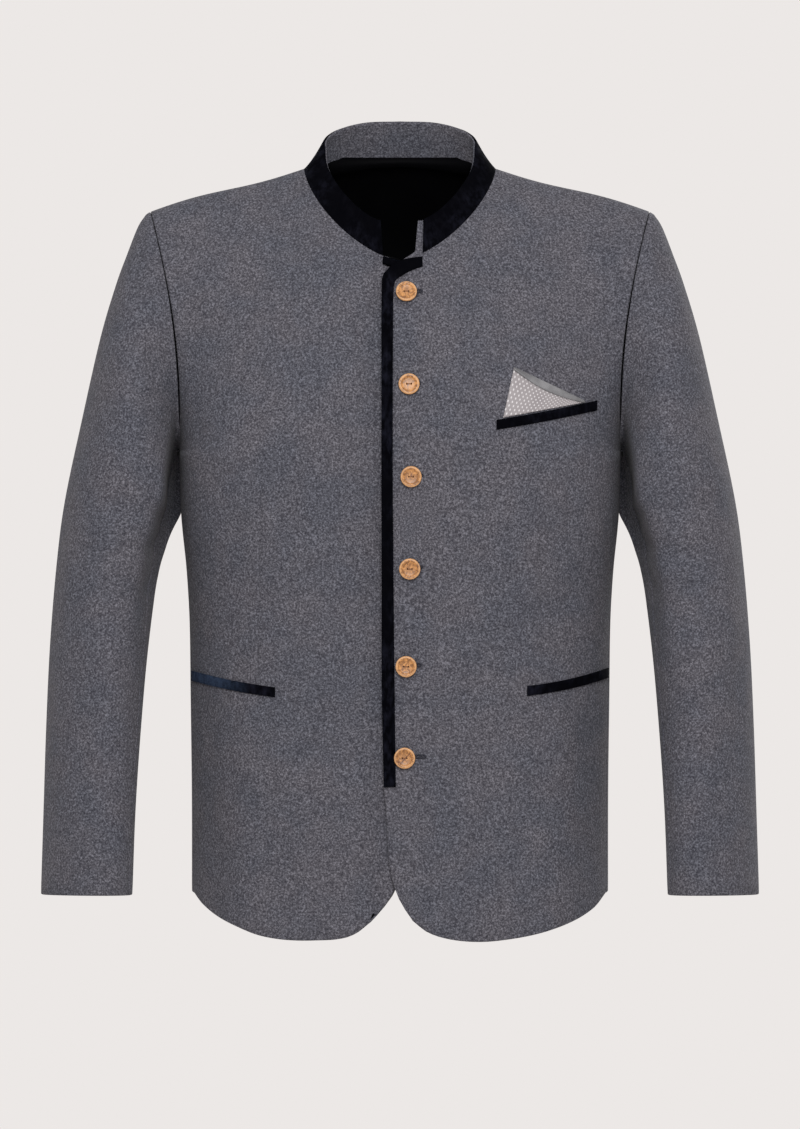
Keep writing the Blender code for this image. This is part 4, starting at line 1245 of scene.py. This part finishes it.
class JACKET_OT_collar(bpy.types.Operator):
    """Make the velvet stand collar and its loden inside"""

    bl_idname = "jacket.collar"
    bl_label = "Collar"

    def execute(self, context):
        rows = collar_rows(-0.0004, 0.0, (COLLAR_END_RIGHT, COLLAR_END_LEFT), 14, 64)
        for place_on_top in rows[-1]:
            place_on_top.z -= 0.0012 * ease((place_on_top.y - 0.004) / 0.025)
        rows = roll_edges(rows, True, VELVET_ROLL, start=full, end=full, top=full, allowance=0.0,
                          corner=1)
        outer = cloth("velvet_collar", rows, VELVET_WALL, velvet_material(), flip=True)
        declare_cloth(outer, "collar_outer")
        rows = collar_rows(-0.0030, 0.0022, (INNER_END_RIGHT, INNER_END), 14, 64, TONGUE)
        inner = cloth("loden_collar_inside", rows, VELVET_WALL, loden_material(), flip=True)
        declare_cloth(inner, "collar_inner")
        return {"FINISHED"}


class JACKET_OT_lining(bpy.types.Operator):
    """Make the back lining that shows in the neck"""

    bl_idname = "jacket.lining"
    bl_label = "Back Lining"

    def execute(self, context):
        piece = cloth("satin_back_lining", lining_rows(28, 30), SATIN_WALL, lining_material())
        declare_cloth(piece, "lining_back")
        return {"FINISHED"}


class JACKET_OT_trims(bpy.types.Operator):
    """Make the velvet edge strips and pocket welts"""

    bl_idname = "jacket.trims"
    bl_label = "Velvet Trims"

    def execute(self, context):
        velvet, lift = velvet_material(), STRIP_LAY + VELVET_WALL
        rows = strip_rows(1, STRIP_EDGE, STRIP_BORDER, 120, 6, lift)
        rows = roll_edges(rows, False, VELVET_ROLL, start=full, end=full, bottom=full, top=full,
                          allowance=0.0, corner=1)
        edge = cloth("velvet_edge_left", rows, VELVET_WALL, velvet)
        declare_cloth(edge, "trim_left")
        rows = strip_rows(-1, UNDER_EDGE, UNDER_BORDER, 12, 4, lift)
        rows = roll_edges(rows, True, 0.0008, start=full, end=full, allowance=0.0, corner=1)
        edge = cloth("velvet_edge_right", rows, VELVET_WALL, velvet, flip=True)
        declare_cloth(edge, "trim_right")
        for name, side, welt in (("chest_welt", 1, CHEST_WELT), ("hip_welt_left", 1, HIP_WELT_LEFT),
                                 ("hip_welt_right", -1, HIP_WELT_RIGHT)):
            rows = roll_edges(welt_rows(side, welt, 40, lift), side < 0, VELVET_ROLL, start=full, end=full,
                              bottom=full, top=full, allowance=0.0, corner=1)
            # the right hip welt gets the velvet with a painted highlight on its outer end
            finish_here = velvet_material(name == "hip_welt_right")
            piece = cloth(f"velvet_{name}", rows, VELVET_WALL, finish_here, flip=side < 0)
            declare_cloth(piece, name)
        return {"FINISHED"}


class JACKET_OT_pochette(bpy.types.Operator):
    """Make the folded dotted pochette with its satin border"""

    bl_idname = "jacket.pochette"
    bl_label = "Pochette"

    def execute(self, context):
        rows = square_rows(28, 40, 0.0, LAY + SATIN_WALL)
        square = cloth("dotted_pochette", rows, SATIN_WALL, silk_material())
        declare_cloth(square, "pocket_square")
        border = cloth("pochette_border", border_rows(), 0.0006, silk_fold_material())
        declare_cloth(border, "")
        return {"FINISHED"}


def border_rows():
    """Return the grid of the satin border along the pochette's sloping upper edge."""
    rows = []
    for j in range(9):
        g = j / 8
        row = []
        for i in range(41):
            f = i / 40
            top = [a + (b - a) * f for a, b in zip(SQUARE_PEAK, SQUARE_TIP)]
            down = 0.0068 * (0.15 + 0.85 * math.sin(math.pi * (0.85 * f + 0.08))) * (1 - g)
            roll = 0.0007 * math.sin(math.pi * min(g * 1.1, 1.0))
            row.append(on_front(1, top[0] + 0.0004 - 0.42 * down, top[1] - down, 0.0022 + roll))
        rows.append(row)
    return rows


class JACKET_OT_buttons(bpy.types.Operator):
    """Make the six stag horn buttons with their thread and stitched buttonholes"""

    bl_idname = "jacket.buttons"
    bl_label = "Buttons"

    def execute(self, context):
        plain, grooved = horn_material("stag horn", 0.0), horn_material("stag horn grooved", 0.85)
        for number, (x, z, shown) in enumerate(BUTTONS, start=1):
            frame_here = button_frame(x, z)
            button = turned_button(f"horn_button_{number}", grooved if number == 6 else plain, frame_here)
            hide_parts(f"button_{number}")
            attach(button, "root")
            thread = button_thread(f"button_thread_{number}", frame_here)
            hole = buttonhole(f"buttonhole_{number}", x, z + BUTTONHOLE_RISE, shown,
                              context.scene.jacket_cloth.stitch_pitch)
            for piece in (thread, hole):
                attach(piece, "root")
        return {"FINISHED"}


def button_frame(x, z):
    """Return the place and turn of a button on the left front, facing out."""
    seat = on_front(1, x, z, LAY + BUTTON_STAND)
    out = (on_front(1, x, z, 0.01) - on_front(1, x, z, 0.0)).normalized()
    up = out.cross(Vector((1.0, 0.0, 0.0))).normalized()
    return Matrix.Translation(seat) @ Matrix((up.cross(out), up, out)).transposed().to_4x4()


def turned_button(name, material, frame_here):
    """Turn one button: a dished face inside a raised rim, with two drilled sewing holes."""
    radius, height = BUTTON_RADIUS, BUTTON_HEIGHT
    profile = ((0.0, 0.66), (0.30, 0.67), (0.55, 0.72), (0.66, 0.78), (0.71, 0.90), (0.76, 0.98), (0.84, 1.0),
               (0.91, 0.96), (0.97, 0.82), (1.0, 0.58), (0.985, 0.34), (0.93, 0.14), (0.84, 0.0), (0.0, 0.0))
    form = bmesh.new()
    own = form.loops.layers.uv.new("own")
    line = [form.verts.new((radius * share, 0.0, height * level)) for share, level in profile]
    edges = [form.edges.new(pair) for pair in zip(line, line[1:])]
    bmesh.ops.spin(form, geom=line + edges, cent=(0, 0, 0), axis=(0, 0, 1), angle=2 * math.pi, steps=64,
                   use_merge=True)
    bmesh.ops.remove_doubles(form, verts=form.verts[:], dist=0.00001)
    bmesh.ops.recalc_face_normals(form, faces=form.faces[:])
    for vertex in form.verts:
        swell = noise.noise(frame_here @ vertex.co * 160.0)
        vertex.co.x *= 1 + 0.012 * swell
        vertex.co.y *= 1 - 0.010 * swell
    button = new_object(name, form, material)
    for offset in (-HOLE_OFFSET, HOLE_OFFSET):
        drill(button, offset, height)
    form = bmesh.new()
    form.from_mesh(button.data)
    own = form.loops.layers.uv.verify()
    for face in form.faces:
        for loop in face.loops:
            loop[own].uv = loop.vert.co.xy
    form.transform(frame_here)
    form.to_mesh(button.data)
    form.free()
    return button


def drill(button, offset, height):
    """Cut a sewing hole through a button."""
    form = bmesh.new()
    bmesh.ops.create_cone(form, cap_ends=True, segments=20, radius1=0.00082, radius2=0.00082,
                          depth=height * 4, matrix=Matrix.Translation((offset, 0.0, 0.0)))
    bit = new_object("drill", form, button.data.materials[0])
    cut = button.modifiers.new("hole", "BOOLEAN")
    cut.solver = "EXACT"
    cut.object = bit
    bpy.context.view_layer.update()
    finished = bpy.data.meshes.new_from_object(button.evaluated_get(bpy.context.evaluated_depsgraph_get()))
    button.modifiers.clear()
    button.data = finished
    bpy.data.objects.remove(bit, do_unlink=True)


def add_tube(form, points, radius, sides=6):
    """Add a round thread along a line of points to a bmesh."""
    rings = []
    for i, point in enumerate(points):
        ahead = (points[min(i + 1, len(points) - 1)] - points[max(i - 1, 0)]).normalized()
        turn = Vector((0, 0, 1)).rotation_difference(ahead).to_matrix().to_4x4()
        ring = bmesh.ops.create_circle(form, cap_ends=i in (0, len(points) - 1), segments=sides,
                                       radius=radius, matrix=Matrix.Translation(point) @ turn)["verts"]
        rings.append(ring)
    for near, far in zip(rings, rings[1:]):
        for i in range(sides):
            form.faces.new((near[i], near[(i + 1) % sides], far[(i + 1) % sides], far[i]))


def button_thread(name, frame_here):
    """Sew a button on: strands over the bar between its holes, and a wound shank below it."""
    form = bmesh.new()
    for offset in (-0.00034, 0.0, 0.00034):
        bar = [Vector((-HOLE_OFFSET, offset, 0.0008)), Vector((-0.0019, offset, 0.0021)),
               Vector((-0.0012, offset, 0.00262)), Vector((0.0012, offset, 0.00262)),
               Vector((0.0019, offset, 0.0021)), Vector((HOLE_OFFSET, offset, 0.0008))]
        add_tube(form, bar, 0.00018)
    shank = []
    for i in range(49):
        angle = 2 * math.pi * i / 12
        shank.append(Vector((SHANK_RADIUS * math.cos(angle), SHANK_RADIUS * math.sin(angle),
                             -0.0013 + 0.0012 * i / 48)))
    add_tube(form, shank, 0.00024, 5)
    bmesh.ops.recalc_face_normals(form, faces=form.faces[:])
    form.transform(frame_here)
    colour = bpy.context.scene.jacket_colours.button_thread
    return new_object(name, form, thread_material("brown thread", colour))


def buttonhole(name, x, z, shown, pitch):
    """Stitch a buttonhole: close stitches over a flat loop that runs from the shank away from the edge."""
    form = bmesh.new()
    near, far, half = x - 0.0010, x + BUTTON_RADIUS + shown, 0.0012
    straight, bow = far - near - 2 * half, math.pi * half
    count = round(2 * (straight + bow) / pitch)
    for k in range(count):
        run = 2 * (straight + bow) * k / count
        if run < straight:
            centre, out = (near + half + run, z - half), (0.0, -1.0)
        elif run < straight + bow:
            turn = (run - straight) / half - math.pi / 2
            out = (math.cos(turn), math.sin(turn))
            centre = (far - half + half * out[0], z + half * out[1])
        elif run < 2 * straight + bow:
            centre, out = (far - half - (run - straight - bow), z + half), (0.0, 1.0)
        else:
            turn = (run - 2 * straight - bow) / half + math.pi / 2
            out = (math.cos(turn), math.sin(turn))
            centre = (near + half + half * out[0], z + half * out[1])
        stitch = [on_front(1, centre[0] + out[0] * reach, centre[1] + out[1] * reach, lift)
                  for reach, lift in STITCH]
        add_tube(form, stitch, 0.00028, 5)
    bmesh.ops.recalc_face_normals(form, faces=form.faces[:])
    return new_object(name, form, thread_material("navy twist", bpy.context.scene.jacket_colours.thread))


class JACKET_OT_stage(bpy.types.Operator):
    """Set up the pale floor, soft studio light and camera"""

    bl_idname = "jacket.stage"
    bl_label = "Stage"

    def execute(self, context):
        scene = context.scene
        surround = scene.jacket_colours.surround
        form = bmesh.new()
        bmesh.ops.create_grid(form, x_segments=1, y_segments=1, size=6.0,
                              matrix=Matrix.Translation((0.0, 0.0, -1.45)))
        floor_material, _, shader, _, _ = start_material("pale floor")
        shader.inputs["Base Color"].default_value = (*[value * 0.72 for value in surround], 1.0)
        shader.inputs["Roughness"].default_value = 0.9
        floor = new_object("floor", form, floor_material)
        world = bpy.data.worlds.new("soft studio")
        world.use_nodes = True
        world.node_tree.nodes["Background"].inputs["Color"].default_value = opaque(surround)
        world.node_tree.nodes["Background"].inputs["Strength"].default_value = 1.0
        scene.world = world
        scene.view_settings.view_transform = "Standard"
        self.add_light("front softbox", (0.10, -3.2, 0.90), 1.2, 71.0)
        self.add_light("top softbox", (-0.3, -1.0, 2.6), 2.0, 4.0)
        self.add_light("back softbox", (1.9, 2.7, 1.3), 1.3, 48.0)
        view = bpy.data.cameras.new("front view")
        view.lens = 500.0
        view.sensor_width = 36.0
        view.clip_end = 200.0
        camera = bpy.data.objects.new("front view", view)
        scene.collection.objects.link(camera)
        camera.location = (0.0, -14.946, -0.3775)
        camera.rotation_euler = (math.radians(90), 0.0, 0.0)
        scene.camera = camera
        return {"FINISHED"}

    def add_light(self, name, place_at, size, power):
        """Add a large soft light that faces the jacket's middle."""
        lamp = bpy.data.lights.new(name, "AREA")
        lamp.shape, lamp.size, lamp.energy = "SQUARE", size, power
        holder = bpy.data.objects.new(name, lamp)
        holder.location = place_at
        aim = Vector((0.0, 0.0, -0.35)) - Vector(place_at)
        holder.rotation_euler = aim.to_track_quat("-Z", "Y").to_euler()
        bpy.context.scene.collection.objects.link(holder)


class JACKET_PT_pieces(bpy.types.Panel):
    """The jacket's pieces, sizes and colours"""

    bl_idname = "JACKET_PT_pieces"
    bl_label = "Tyrolean Loden Jacket"
    bl_space_type = "VIEW_3D"
    bl_region_type = "UI"
    bl_category = "Jacket"

    def draw(self, context):
        for group in (context.scene.jacket_cloth, context.scene.jacket_colours):
            box = self.layout.box()
            for name in group.__annotations__:
                box.prop(group, name)
        for operator in OPERATORS:
            self.layout.operator(operator.bl_idname)


OPERATORS = (JACKET_OT_fronts, JACKET_OT_backs, JACKET_OT_sleeves, JACKET_OT_collar, JACKET_OT_lining,
             JACKET_OT_trims, JACKET_OT_pochette, JACKET_OT_buttons, JACKET_OT_stage)
CLASSES = (JacketCloth, JacketColours, *OPERATORS, JACKET_PT_pieces)


def register():
    """Register the classes and the scene's sizes and colours."""
    for entry in CLASSES:
        bpy.utils.register_class(entry)
    bpy.types.Scene.jacket_cloth = bpy.props.PointerProperty(type=JacketCloth)
    bpy.types.Scene.jacket_colours = bpy.props.PointerProperty(type=JacketColours)


def unregister():
    """Take everything away again."""
    del bpy.types.Scene.jacket_colours
    del bpy.types.Scene.jacket_cloth
    for entry in reversed(CLASSES):
        bpy.utils.unregister_class(entry)


def main():
    """Build the jacket and its stage."""
    register()
    bpy.ops.jacket.fronts()
    bpy.ops.jacket.backs()
    bpy.ops.jacket.sleeves()
    bpy.ops.jacket.collar()
    bpy.ops.jacket.lining()
    bpy.ops.jacket.trims()
    bpy.ops.jacket.pochette()
    bpy.ops.jacket.buttons()
    bpy.ops.jacket.stage()


if __name__ == "__main__":
    main()
